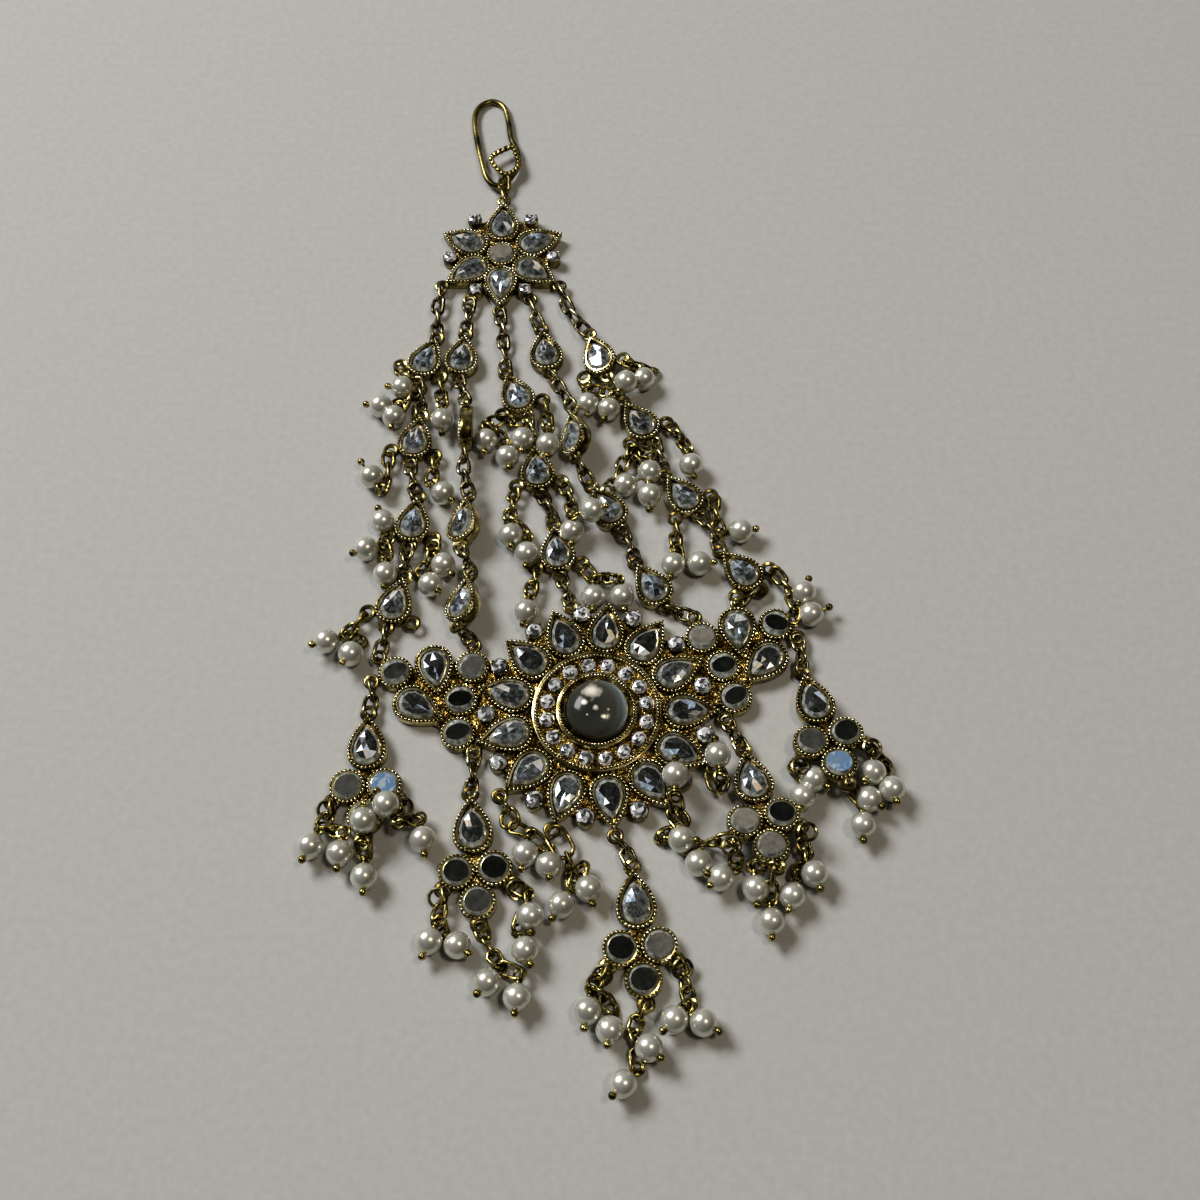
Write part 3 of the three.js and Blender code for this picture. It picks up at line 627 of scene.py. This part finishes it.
halo_places = [place(*around(HALO_START - 360 / HALO_STONES * i, HALO_RADIUS), HALO_RISE)
               for i in range(HALO_STONES)]
make_piece("medallion_rhinestones", joined(
    [chaton().at(spot) for spot in notch_places + halo_places]).at(cast),
    [chaton_glass], ["medallion"], crisp=0)
make_piece("medallion_prongs", prongs(notch_places + halo_places).at(cast), [rope_gold],
           ["medallion"])

# ------------------------------------------------------------
# Centre stone. One domed stone of smoky glass with a silvered back, dropped into the bezel, whose
# edge is burnished over it.
low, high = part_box("centre_stone")
DOME_RADIUS = (high.x - low.x) / 2 / MM
DOME_GIRDLE = 3.2
DOME_TOP = high.z / MM
DOME_STEPS = 12
dome_levels = [(DOME_RADIUS, low.z / MM), (DOME_RADIUS, DOME_GIRDLE)]
for step in range(1, DOME_STEPS):
    t = math.pi / 2 * step / DOME_STEPS
    dome_levels.append((DOME_RADIUS * math.cos(t),
                        DOME_GIRDLE + (DOME_TOP - DOME_GIRDLE) * math.sin(t)))
dome = skin([round_ring(radius, z, 48) for radius, z in dome_levels])
dome.points[-1, 2] = DOME_TOP

# Smoky domed glass: clear deep grey, with a pale arc of painted light down the right side where the
# light that it gathers would come out, and six painted gleams standing in for what the silvered
# back throws up through it.
PAINTED_CRESCENT_FROM = (-0.4, -0.1)
# x, y, bright core and reach of each painted gleam, and the mean of the pattern that ripples their
# edges.
PAINTED_GLEAMS = [(-0.8, 2.3, 0.4, 1.5), (-1.8, 0.2, 0.1, 0.45), (-0.2, -0.6, 0.1, 0.45),
          (0.9, -2.0, 0.1, 0.4), (1.7, -0.9, 0.04, 0.22), (-1.5, -1.7, 0.04, 0.2)]
RIPPLE_MEAN = 0.5
smoky_glass, tree, shader, at = new_finish(
    "smoky_domed_glass_painted_light", Metallic=0.2, Roughness=0.16, Specular_IOR_Level=0.1, Coat_Weight=0.1,
    Coat_Roughness=0.05)
flat = add(tree, "VectorMath", {"operation": "MULTIPLY"}, i0=at, i1=(1, 1, 0)).outputs["Vector"]
from_painted_shade = add(tree, "VectorMath", {"operation": "DISTANCE"}, i0=flat,
                i1=[share * DOME_RADIUS * MM for share in (*PAINTED_CRESCENT_FROM, 0)])
farthest = (1 + math.hypot(*PAINTED_CRESCENT_FROM)) * DOME_RADIUS * MM
painted_crescent = add(tree, "MapRange", i0=from_painted_shade.outputs["Value"], i2=farthest)
# Painted shade on the left, fading to painted light down the right side.
painted_lit_colour = add(tree, "ValToRGB", {"stops": [(0.2, "#2b2c27"), (0.7, "#44453b"), (0.86, "#6b726f"),
                                       (0.97, "#c8dfec")]},
          Fac=painted_crescent.outputs["Result"]).outputs["Color"]
ripple = add(tree, "TexNoise", Vector=at, Scale=per(1.8), Detail=1.5)
for x, y, core, reach_to in PAINTED_GLEAMS:
    off = add(tree, "VectorMath", {"operation": "DISTANCE"}, i0=flat, i1=(x * MM, y * MM, 0))
    wavy = add(tree, "Math", {"operation": "MULTIPLY"}, i0=off.outputs["Value"],
               i1=ripple.outputs["Fac"])
    glow = add(tree, "MapRange", i0=wavy.outputs["Value"], i1=core * MM * RIPPLE_MEAN,
               i2=reach_to * MM * RIPPLE_MEAN, i3=1.0, i4=0.0)
    painted_lit_colour = add(tree, "Mix", {"data_type": "RGBA"}, i0=glow.outputs["Result"], i6=painted_lit_colour,
              i7=linear("#f6efdc")).outputs["Result"]
feed(tree, shader, Base_Color=painted_lit_colour)
make_piece("domed_stone", dome, [smoky_glass], ["centre_stone"])

# ------------------------------------------------------------
# Rosette. The second casting: six pear cups round one small mirror, a rhinestone between each two
# petals, and six eyelets, one for the hook and five for the strands.
ROSETTE_MIDDLE = (-17.2, 89.3)
ROSETTE_PETALS = [23, 90, 157, 214, 270, 326]
ROSETTE_CUP_RADIUS = 7.3
ROSETTE_NOTCH_RADIUS = 9.3
ROSETTE_PLATE_RADIUS = 8.5
ROSETTE_CROWN = (90, 12.6)
ROSETTE_EYELETS = [(214, 12.6), (242, 11.4), (270, 12.6), (298, 11.4), (326, 12.6)]
ROSETTE_MIRROR = (0.72, 1.45)
ROSETTE_GROUND = (0.3, 0.5)

rosette_at = place(*ROSETTE_MIDDLE)
cups = [place(*around(angle, ROSETTE_CUP_RADIUS), turn=angle - 90) for angle in ROSETTE_PETALS]
nexts = ROSETTE_PETALS[1:] + [ROSETTE_PETALS[0] + 360]
notches = [place(*around((angle + following) / 2, ROSETTE_NOTCH_RADIUS))
           for angle, following in zip(ROSETTE_PETALS, nexts)]
eyelets = [place(*around(*spot), EYELET_HEIGHT) for spot in [ROSETTE_CROWN, *ROSETTE_EYELETS]]
make_piece("rosette_casting", joined([
    slab(round_ring(ROSETTE_PLATE_RADIUS, 0)[:, :2], PLATE_HEIGHT),
    pear_cup(CAST_CUP).at(cups), MIRROR_CUP, RHINESTONE_CUP.at(notches), EYELET.at(eyelets),
]).at(rosette_at), [plate_gold, amber_gold], ["rosette"])
make_piece("rosette_rope_edges", joined([
    cup_edges(CAST_CUP).at(cups), MIRROR_EDGES,
]).at(rosette_at), [rope_gold], ["rosette"])
make_piece("rosette_pear_stones", joined(
    [pear_stone(CAST_CUP, ROSETTE_GROUND).at(spot) for spot in cups]).at(rosette_at),
    [cut_glass, glass_edge], ["rosette"], crisp=0)
make_piece("rosette_mirror", mirror(*ROSETTE_MIRROR).at(rosette_at),
           [mirror_glass, glass_edge], ["rosette"], MIRROR_CRISP)
make_piece("rosette_rhinestones", joined([chaton().at(spot) for spot in notches]).at(rosette_at),
           [chaton_glass], ["rosette"], crisp=0)
make_piece("rosette_prongs", prongs(notches).at(rosette_at), [rope_gold], ["rosette"])

# ------------------------------------------------------------
# Strand settings. Nineteen pear cups cast one by one, each with an eyelet at its tip and at its
# round end. Those of the pearl strands have an ear on each side too. Some lie over on their sides.
LINK_CUP = (5.9, 8.2)
EAR = (3.7, -2.9)
SMALL_EYELET_WIRE = 0.4
SMALL_EYELET = tube(oval_path(EYELET_RADIUS, 0, 16), SMALL_EYELET_WIRE, 7)
END_EYELET = LINK_CUP[1] / 2 + 0.5
LINK_GROUND = (0.2, 0.55)
LINK_SPREAD = 0.15
LINK_PAINTED_FLASH = (-4, 0)
PEARL_STRANDS = (1, 3, 5)
# x, y, turn and roll of each strand's pears from the top down, left strand first.
STRAND_PEARS = [
    [(-29.5, 66.5, -20, 0), (-30.5, 50, -8, 0), (-30, 34, -6, 0), (-32, 19.2, -15, 0)],
    [(-23.4, 67, -5, 0), (-20.9, 51.5, 0, -88), (-20.8, 33.2, -8, -35), (-20.3, 18.6, -12, -35)],
    [(-13.9, 59, 24, 0), (-10, 44, 7, 0), (-6.5, 28.6, 7, 0)],
    [(-9, 68, 10, 0), (-2.8, 49.9, 2, -48), (1.5, 36.6, 32, 0), (8.6, 22.2, 32, 0)],
    [(0.5, 66.7, 19, -18), (7, 53.5, 34, 0), (14, 39, 36, 0), (23, 24.8, 42, 0)],
]


def strand_place(x, y, turn, roll):
    return place(x, y, LINK_CUP[0] / 2 * abs(math.sin(math.radians(roll))), turn, 0, roll)


def reach(matrix, x, y, z=EYELET_HEIGHT):
    """The point of a laid form that was at x, y, z."""
    return (np.asarray(matrix) @ (x, y, z, 1))[:3]


strand_cups = [[strand_place(*pear) for pear in pears] for pears in STRAND_PEARS]
for number, spots in enumerate(strand_cups, 1):
    node = f"strand_{number}"
    eyelets = [place(0, END_EYELET, EYELET_HEIGHT), place(0, -END_EYELET, EYELET_HEIGHT)]
    if number in PEARL_STRANDS:
        eyelets += [place(side * EAR[0], EAR[1], EYELET_HEIGHT) for side in (-1, 1)]
    setting = joined([pear_cup(LINK_CUP), SMALL_EYELET.at(eyelets)])
    make_piece(f"{node}_settings", setting.at(spots), [plate_gold, amber_gold], [node])
    make_piece(f"{node}_rope_edges", cup_edges(LINK_CUP).at(spots), [rope_gold], [node])
    make_piece(f"{node}_stones", joined(
        [pear_stone(LINK_CUP, LINK_GROUND, LINK_SPREAD, LINK_PAINTED_FLASH).at(spot) for spot in spots]),
        [cut_glass, glass_edge], [node], crisp=0)

# ------------------------------------------------------------
# Drops. Five castings that hang from the medallion's lower edge: a pear cup over three mirrors,
# with an eyelet at the tip, one at each side and one at the foot.
# x, y, turn and pitch of each drop's pear, left to right.
DROPS = [(-34.8, -4.9, 2, 0), (-18.4, -17.9, 6, 0), (5.6, -29.1, 5, 0), (23.2, -11, 11, -10),
         (33.2, 1.8, 15, -8)]
DROP_MIRRORS = [(-2.75, -6.9), (2.75, -6.9), (0, -11.6)]
DROP_WEB = [(-2.75, -6.9), (0, -11.6), (2.75, -6.9), (0, -2)]
DROP_ROOTS = [(-4.9, -9.2), (4.9, -9.2), (0, -14.9)]
DROP_TIP = CAST_CUP[1] / 2 + 0.5
# The painted reflections in each drop's three mirror tables.
DROP_PAINTED_REFLECTIONS = [(0.5, 0.95, 0.6), (0.2, 0.08, 0.38), (0.12, 0.6, 0.25), (0.74, 0.05, 0.66),
              (0.4, 0.1, 0.95)]
DROP_NARROW = 1.65

drop_places = []
for number, (drop, painted_reflection_tones) in enumerate(zip(DROPS, DROP_PAINTED_REFLECTIONS), 1):
    x, y, turn, pitch = drop
    z = -CAST_CUP[1] / 2 * math.sin(math.radians(pitch))
    spot = place(x, y, z, turn, pitch)
    drop_places.append(spot)
    node = f"drop_{number}"
    mirrors = [place(*middle_at) for middle_at in DROP_MIRRORS]
    eyelets = [place(*root, EYELET_HEIGHT) for root in [(0, DROP_TIP), *DROP_ROOTS]]
    make_piece(f"{node}_casting", joined([
        pear_cup(CAST_CUP), MIRROR_CUP.at(mirrors), slab(DROP_WEB, PLATE_HEIGHT),
        SMALL_EYELET.at(eyelets)]).at(spot), [plate_gold, amber_gold], [node])
    make_piece(f"{node}_rope_edges", joined([
        cup_edges(CAST_CUP), MIRROR_EDGES.at(mirrors)]).at(spot), [rope_gold], [node])
    make_piece(f"{node}_pear_stone", pear_stone(CAST_CUP).at(spot), [cut_glass, glass_edge],
               [f"drop_stone_{number}"], crisp=0)
    make_piece(f"{node}_mirrors", joined(
        [mirror(tone, DROP_NARROW).at(at) for tone, at in zip(painted_reflection_tones, mirrors)]).at(spot),
        [mirror_glass, glass_edge], [node], MIRROR_CRISP)

# ------------------------------------------------------------
# Chains. Short lengths of fine cable chain join the castings. Each link is cut from round brass
# wire, bent to an oval and closed through its neighbour, so they alternate flat and on edge.
LINK_WIDTH = 0.94
LINK_WIRE = 0.35
LINK_PITCH = 2.3
TOP_PITCH = 3.0
LINK_TWIST = 50
SLACK = 0.07
LINK_QUARTER = 84
LINK_LEAN = 22
LINK_ROUNDEST = 0.85
JUMP_RING_RADIUS = 1.3
JUMP_RING_WIRE = 0.28
JUMP_AT = (5.7, -10.4, 1.5)
JUMP_TURN = 25
JUMP_PITCH = 18
link_dice = np.random.default_rng(5)


def between(start, end):
    """The matrix that lays Y from start towards end."""
    along = Vector(end) - Vector(start)
    turned = along.to_track_quat("Y", "Z").to_matrix().to_4x4()
    return np.array(Matrix.Translation(start) @ turned)


def chain(start, end, long_as=LINK_PITCH, wide_as=LINK_WIDTH):
    """Links from one point to another, each through the next. The last one lies nearly flat.

    The line bows to one side, as a slack chain does, and each link has a slight twist.
    """
    start, end = np.asarray(start, float), np.asarray(end, float)
    distance = np.linalg.norm(end - start)
    count = max(1, round(distance / long_as))
    half = distance / count / 2 + LINK_WIRE
    width = min(wide_as, half * LINK_ROUNDEST)
    path = oval_path(width, 2 * (half - width))
    twist = np.radians(LINK_TWIST) * path[:, 1] / (2 * half)
    path = np.stack([path[:, 0] * np.cos(twist), path[:, 1], path[:, 0] * np.sin(twist)], 1)
    link = tube(path, LINK_WIRE)
    along = (np.arange(count + 1) / count)[:, None]
    aside = np.cross(end - start, (0, 0, 1)) * link_dice.uniform(-SLACK, SLACK)
    joints = start + (end - start) * along + aside * np.sin(math.pi * along)
    links = []
    for i in range(count):
        turn = LINK_QUARTER * ((count - 1 - i) % 2) + link_dice.uniform(-LINK_LEAN, LINK_LEAN)
        links.append(between(joints[i], joints[i + 1]) @ place(0, half - LINK_WIRE, roll=turn))
    return link.at(links)


# Tarnished brass wire: dark olive in the shade, with sharp bright lights along its round side, and
# painted shade where the links close on each other.
chain_brass = patina_metal(
    "tarnished_brass_wire", 1.2, ("#2a2414", "#736844", "#c4b98c"), 0.8, (0.32, 0.16))[0]

for number, (spots, top, foot) in enumerate(zip(strand_cups, ROSETTE_EYELETS, STRAND_ENDS), 1):
    ends = [reach(rosette_at, *around(*top))]
    for spot in spots:
        ends += [reach(spot, 0, END_EYELET), reach(spot, 0, -END_EYELET)]
    ends.append(reach(cast, *foot))
    lengths = [chain(ends[i], ends[i + 1], LINK_PITCH if i else TOP_PITCH)
               for i in range(0, len(ends), 2)]
    make_piece(f"strand_{number}_chain", joined(lengths), [chain_brass], [f"strand_{number}"])
drop_ends = {**WING_DROP_ENDS, 3: petal_eyelets[MIDDLE_DROP_PETAL]}
jump_ring = tube(oval_path(JUMP_RING_RADIUS, 0), JUMP_RING_WIRE, 7)
jump_rings = jump_ring.at([
    place(side * JUMP_AT[0], JUMP_AT[1], JUMP_AT[2], side * JUMP_TURN, JUMP_PITCH)
    for side in (-1, 1)])
for number, spot in enumerate(drop_places, 1):
    make_piece(f"drop_{number}_chain", joined([
        chain(reach(cast, *drop_ends[number]), reach(spot, 0, DROP_TIP)),
        jump_rings.at(spot)]), [chain_brass], [f"drop_{number}"])

# ------------------------------------------------------------
# Pearls. Imitation pearls of moulded plastic in a nacre lacquer. Each hangs on a head pin that
# ends in a small ball below it, and whose other end is wrapped into a loop on the chain.
PEARL_RADIUS = 2.0
PIN_WIRE = 0.24
PIN_LOOP = 0.95
PIN_HEAD = 0.62
HEAD_SEAT = 0.7
HEAD_OUT = 2.43
PIN_LEAN = (35, 24)
PIN_TOP = 0.4
WRAP_RADIUS = 0.36
WRAP_GAP = 0.05
LOOP_GAP = 0.35
LOOP_LEAN = 30
EAR_HOLD = (4.0, -3.5)
# under, side, x and y of each strand's pearls: the pear they hang from and on which side. Then
# where the pin's head points, turned from +Y, how far from the pearl's middle it shows, and z
# where the pearl lies on something.
STRAND_PEARLS = {
    1: [(0, -1, -33.4, 60, 98, 1.9), (0, -1, -36.8, 56.2, 82, 2.5), (0, -1, -34.4, 54, 173, 2.1),
        (0, 1, -26.2, 53.4, -178, 2.7), (1, -1, -37.4, 42.2, 34, 3.4), (1, 1, -25.4, 39, -137, 2),
        (2, -1, -35, 33.6, 20, 2.2), (2, -1, -37.3, 28.5, 122, 1.9),
        (2, -1, -33.9, 23.9, 180, 2.3), (2, 1, -24.7, 25.6, -143, 2.2),
        (2, 1, -26.6, 22, -141, 1.5), (3, -1, -42.4, 12, 117, 1.8), (3, -1, -38.4, 9.8, 152, 1.3)],
    3: [(0, -1, -18.7, 49.3, 177, 2.3), (0, -1, -15, 46, -170, 2.1),
        (0, -1, -12.6, 49.6, 180, 2.3), (0, 1, -8.3, 48.5, 180, 2.3), (1, -1, -14, 31, -174, 2),
        (1, -1, -11.4, 27.6, 180, 2.3), (1, 1, -4.1, 31.8, 180, 2.3),
        (1, 1, -0.8, 34, -86, 1.5, 4.9), (2, -1, -11.2, 17.2, 170, 2.3),
        (2, 1, -0.6, 19.8, 180, 2.3), (2, 1, 3.9, 19.8, -170, 2.3)],
    5: [(0, -1, -1.7, 56.6, 180, 2.3), (0, -1, 2, 55.6, 160, 2.2), (0, 1, 7.9, 61.8, 146, 1.8),
        (0, 1, 4.9, 60.2, 150, 2.3, 3.4), (1, -1, 4.7, 40.6, -66, 3.4),
        (1, -1, 8.6, 38.6, 179, 2.8), (1, -1, 8.7, 43.1, 175, 2.3), (1, 1, 15.6, 44.4, -170, 2.3),
        (2, -1, 12.2, 25.6, 170, 2.3), (2, -1, 16.4, 25.8, -93, 2), (2, 1, 23.4, 31.8, -83, 2.3),
        (3, 1, 32.8, 20.6, -23, 2.6), (3, 1, 33.8, 16.7, -67, 3.2)],
}
# root, then as above for each drop's pearls.
DROP_PEARLS = [
    [(0, -42, -21.2, 158, 2.1), (0, -37.6, -22.3, 175, 2.2), (1, -31, -15.6, 36, 2.3, 4.3),
     (1, -25.6, -20.2, -170, 2.3), (2, -33.8, -25.8, -178, 2.2), (2, -34.2, -18, -2, 2, 4.1)],
    [(0, -23.9, -35.2, 160, 2.3), (0, -19.8, -35.8, -131, 1.3), (1, -9.6, -31.6, -172, 2.3),
     (1, -10.2, -36.5, -159, 2), (2, -15.4, -41, 145, 1.2), (2, -11.2, -43.1, 174, 2.2)],
    [(0, -1.3, -45, 169, 2.3), (0, 1.8, -47.6, 170, 1.6), (1, 10.8, -46.2, 135, 2),
     (1, 14.8, -46.6, -122, 2.1), (2, 7.2, -50, -135, 1.8), (2, 3.6, -54.8, 139, 1.5)],
    [(0, 14.8, -23.8, -149, 1.4), (0, 18, -26, 131, 1.1), (1, 31.6, -25.4, -163, 2.2),
     (1, 28.2, -28.6, 163, 2.2), (2, 23, -27.6, -178, 2.4), (2, 25, -32.4, 180, 2.3)],
    [(0, 32.4, -10.8, -125, 2.2), (0, 30.6, -13.6, 164, 1.8), (1, 41.4, -9.8, 136, 1.3),
     (1, 44, -12.4, -169, 1.9), (2, 40.4, -14, -130, 1.9), (2, 39.2, -18, 177, 2.3)],
]
# The length and half width of a fringe's rings.
FRINGE_RING = (3.3, 1.55)
# The petal, the knot at the end of its chain, and the pearls there.
FRINGES = [
    (-2, (-12.6, -18), [(-10.5, -22.4, 170, 2.2), (-7, -24.1, -175, 1.4)]),
    (-1, (-4.4, -22.4), [(-5.1, -30, 148, 2.3), (-1.2, -27.6, -166, 2.3)]),
    (1, (12.9, -17.9), [(11.6, -11.2, -2, 2.6, 4.8), (12.4, -20.2, -102, 1.4)]),
    (2, (18.4, -12.4), [(18, -8, 7, 2.6, 4.6)]),
]


def hung(holds, x, y, heading, head_out, z=PEARL_RADIUS):
    """A pearl on its head pin, and the metal of the pin, its loop and its chain.

    The chain starts at the nearest of the points in holds, to which its own loop is then added.
    A pin leans up if its head shows nearer than HEAD_OUT, and is longer if it shows farther out.
    """
    steepness, most = PIN_LEAN
    lay = place(x, y, z, heading, min(max((HEAD_OUT - head_out) * steepness, 0), most))
    end = PEARL_RADIUS + PIN_HEAD * HEAD_SEAT + max(head_out - HEAD_OUT, 0)
    loop_at = (0, -PEARL_RADIUS - PIN_LOOP - LOOP_GAP, 0)
    wraps = [place(0, -PEARL_RADIUS - WRAP_GAP - 2 * PIN_WIRE * i, pitch=90) for i in range(2)]
    metal = joined([
        tube(oval_path(WRAP_RADIUS, 0, 10), PIN_WIRE, 6).at(wraps),
        tube(oval_path(PIN_LOOP, 0, 16), PIN_WIRE, 6).at(
            place(*loop_at, roll=link_dice.uniform(-LOOP_LEAN, LOOP_LEAN))),
        tube([(0, -PEARL_RADIUS - PIN_TOP, 0), (0, 0, 0), (0, end, 0)], PIN_WIRE, 6, closed=False),
        ball([PIN_HEAD] * 3, 12, 8).at(place(0, end)),
    ]).at(lay)
    loop = reach(lay, *loop_at)
    hold = min(holds, key=lambda point: np.linalg.norm(loop - point))
    if np.linalg.norm(loop - hold) > LINK_PITCH / 2:
        metal = joined([metal, chain(hold, loop)])
    holds.append(loop)
    return ball([PEARL_RADIUS] * 3, 28, 16).at(place(x, y, z)), metal


# Nacre lacquer on plastic: cool cream with a soft glow under a clear gloss, and faint grey clouds.
nacre = clouded(
    "nacre_lacquer", 3, 2.0, [(0.35, "#c3c2b0"), (0.5, "#cfcebe"), (0.68, "#dbdacc")],
    Metallic=0.6, Roughness=0.3, Coat_Weight=1.0, Coat_Roughness=0.12, Coat_IOR=1.65)[0]

# Raw brass pin: yellower and cleaner than the chain, with painted shade where its wraps, loop and
# links close on each other.
pin_brass = patina_metal(
    "yellow_brass_pin", 1.0, ("#3c3418", "#867638", "#d0c07e"), 0.8, (0.32, 0.18))[0]


def hang_all(node, hangings, extra=()):
    """The pearls of one node, and the metal they hang by, as two pieces.

    Pearls with the same root share its chain, each from the nearest loop of those before it.
    """
    holds = {tuple(root): [np.array(root, float)] for root, *row in hangings}
    pearls, metals = zip(*(hung(holds[tuple(root)], *row) for root, *row in hangings))
    make_piece(f"{node}_pearls", joined(pearls), [nacre], [node])
    make_piece(f"{node}_pins", joined([*metals, *extra]), [pin_brass], [node])


for number, rows in STRAND_PEARLS.items():
    spots = strand_cups[number - 1]
    hang_all(f"strand_{number}", [
        (reach(spots[under], side * EAR_HOLD[0], EAR_HOLD[1]), *row)
        for under, side, *row in rows])
for number, (spot, rows) in enumerate(zip(drop_places, DROP_PEARLS), 1):
    hang_all(f"drop_{number}", [(reach(spot, *DROP_ROOTS[root]), *row) for root, *row in rows])
for number, (petal, knot, rows) in enumerate(FRINGES, 1):
    knot = (*knot, EYELET_HEIGHT)
    hang_all(f"fringe_{number}", [(knot, *row) for row in rows],
             [chain(reach(cast, *petal_eyelets[petal]), knot, *FRINGE_RING)])

# ------------------------------------------------------------
# Hook and ring. A hair hook bent from one heavy wire to a long eye, and the twisted ring of two
# wires that ties it to the rosette's top eyelet.
HOOK_WIRE = 0.58
HOOK_PATH = [(-20.3, 127.4), (-22.7, 125.8), (-23.4, 122.4), (-22.7, 117), (-21.5, 111),
             (-20.4, 107.2), (-18.6, 105.6), (-16.6, 107), (-15, 110.4), (-15, 114),
             (-16.3, 117.6), (-17, 122.4), (-18, 126)]
HOOK_HEIGHTS = (1.3, 0.55)
RING_FOOT = (-17.2, 107.4, 1.5)
RING_PATH = [(-16, 114.6), (-18.4, 113.4), (-19.9, 111.8), (-18.9, 109.6), (-17.2, 107.9),
             (-15.6, 108.6), (-14.7, 110.3), (-15.2, 112.6)]
RING_HEIGHT = 1.9
RING_TWISTS = 10
RING_SWING = 0.25
RING_WIRE = 0.33


def smooth_path(corners, steps=6):
    """A closed path of rounded bends through the corners."""
    corners = np.asarray(corners, float)
    before, after, later = (np.roll(corners, shift, 0) for shift in (1, -1, -2))
    path = []
    for a, b, c, d in zip(before, corners, after, later):
        for t in np.arange(steps) / steps:
            path.append(0.5 * (2 * b + (c - a) * t + (2 * a - 5 * b + 4 * c - d) * t * t
                               + (3 * b - a - 3 * c + d) * t ** 3))
    return np.array(path)


# Gold wash on heavy wire: bright and smooth in rubbed stretches, with long dark stains between, and
# painted shade where the ring's wires and links close on each other.
washed_wire = patina_metal(
    "gold_washed_wire", 5.0, ("#2b2512", "#85753c", "#cdbb78"), 0.8, (0.32, 0.2))[0]

tops = [y for _, y in HOOK_PATH]
hook_corners = [(x, y, np.interp(y, (min(tops), max(tops)), HOOK_HEIGHTS)) for x, y in HOOK_PATH]
make_piece("hair_hook", tube(smooth_path(hook_corners), HOOK_WIRE, 12), [washed_wire], ["hook"])

ring_path = smooth_path([(x, y, RING_HEIGHT) for x, y in RING_PATH], 12)
travel = np.arange(len(ring_path)) / len(ring_path) * 2 * math.pi * RING_TWISTS
outward = np.cross(np.roll(ring_path, -1, 0) - np.roll(ring_path, 1, 0), (0, 0, 1))
outward /= np.linalg.norm(outward, axis=1)[:, None]
wires = []
for phase in (0, math.pi):
    swing = outward * np.cos(travel + phase)[:, None] + [[0, 0, s] for s in np.sin(travel + phase)]
    wires.append(tube(ring_path + RING_SWING * swing, RING_WIRE, 8))
crown = reach(rosette_at, *around(*ROSETTE_CROWN))
make_piece("hook_twisted_ring", joined([*wires, chain(crown, RING_FOOT)]), [washed_wire],
           ["hook_ring"])

# ------------------------------------------------------------
# Floor. A plain pale sheet of matt card that the jewel lies on, far wider than the view, with a
# trace of tooth to its surface.
FLOOR_HALF = 2500
floor_mesh = bpy.data.meshes.new("floor")
floor_mesh.from_pydata([(x * FLOOR_HALF * MM, y * FLOOR_HALF * MM, 0)
                        for x, y in ((-1, -1), (1, -1), (1, 1), (-1, 1))], [], [(0, 1, 2, 3)])
floor = bpy.data.objects.new("floor", floor_mesh)
bpy.context.scene.collection.objects.link(floor)
floor_mesh.materials.append(clouded(
    "matt_card", 1.2, 3.0, [(0.3, "#adada6"), (0.7, "#b4b4ad")], Roughness=0.85)[0])

# ------------------------------------------------------------
# Light and camera. A wide window high on the left, a small lamp overhead and a dim room light the
# jewel. The camera looks down at it from the near side.
# Place, size, power and colour of each lamp.
SOFT_LIGHTS = [((-840, 640, 980), (620, 480), 23.0, "#f6f6fc"),
               ((230, -50, 660), (110, 110), 1.1, "#fff0da")]
ROOM_STRENGTH = 0.3
CAMERA_AT = (0.459, -88.84, 214.06)
CAMERA_TILT = 27
CAMERA_LENS = 45
CAMERA_SENSOR = 36
for number, (position, size, power, colour) in enumerate(SOFT_LIGHTS, 1):
    light = bpy.data.lights.new(f"soft_light_{number}", "AREA")
    light.shape, light.energy = "RECTANGLE", power
    light.size, light.size_y = size[0] * MM, size[1] * MM
    light.color = linear(colour)[:3]
    lamp = bpy.data.objects.new(light.name, light)
    lamp.location = Vector(position) * MM
    lamp.rotation_euler = (-lamp.location).to_track_quat("-Z", "Y").to_euler()
    bpy.context.scene.collection.objects.link(lamp)

# The room fades from a pale wall at the far left to a dark ceiling and a dark near side, with vague
# furniture.
world = bpy.data.worlds.new("dim_room")
world.use_nodes = True
tree = world.node_tree
towards = add(tree, "TexCoord").outputs["Generated"]
wall = add(tree, "VectorMath", {"operation": "DOT_PRODUCT"}, i0=towards, i1=(-0.45, 0.8, 0.38))
furniture = add(tree, "TexNoise", Vector=towards, Scale=1.8, Detail=0.5)
blend = add(tree, "MapRange", i0=furniture.outputs["Fac"], i1=0.35, i2=0.65, i3=-0.25, i4=0.25)
mixed = add(tree, "Math", {"operation": "ADD"}, i0=wall.outputs["Value"],
            i1=blend.outputs["Result"])
walls = add(tree, "ValToRGB", {"stops": [(0.3, "#303030"), (0.65, "#5a5a57"), (1.0, "#d8d8d4")]},
            Fac=mixed.outputs["Value"])
feed(tree, tree.nodes["Background"], Color=walls.outputs["Color"], Strength=ROOM_STRENGTH)
bpy.context.scene.world = world

camera = bpy.data.objects.new("camera", bpy.data.cameras.new("camera"))
camera.data.lens, camera.data.sensor_width = CAMERA_LENS, CAMERA_SENSOR
camera.location = Vector(CAMERA_AT) * MM
camera.rotation_euler = (math.radians(CAMERA_TILT), 0, 0)
bpy.context.scene.collection.objects.link(camera)
bpy.context.scene.camera = camera
bpy.context.scene.view_settings.view_transform = "Standard"
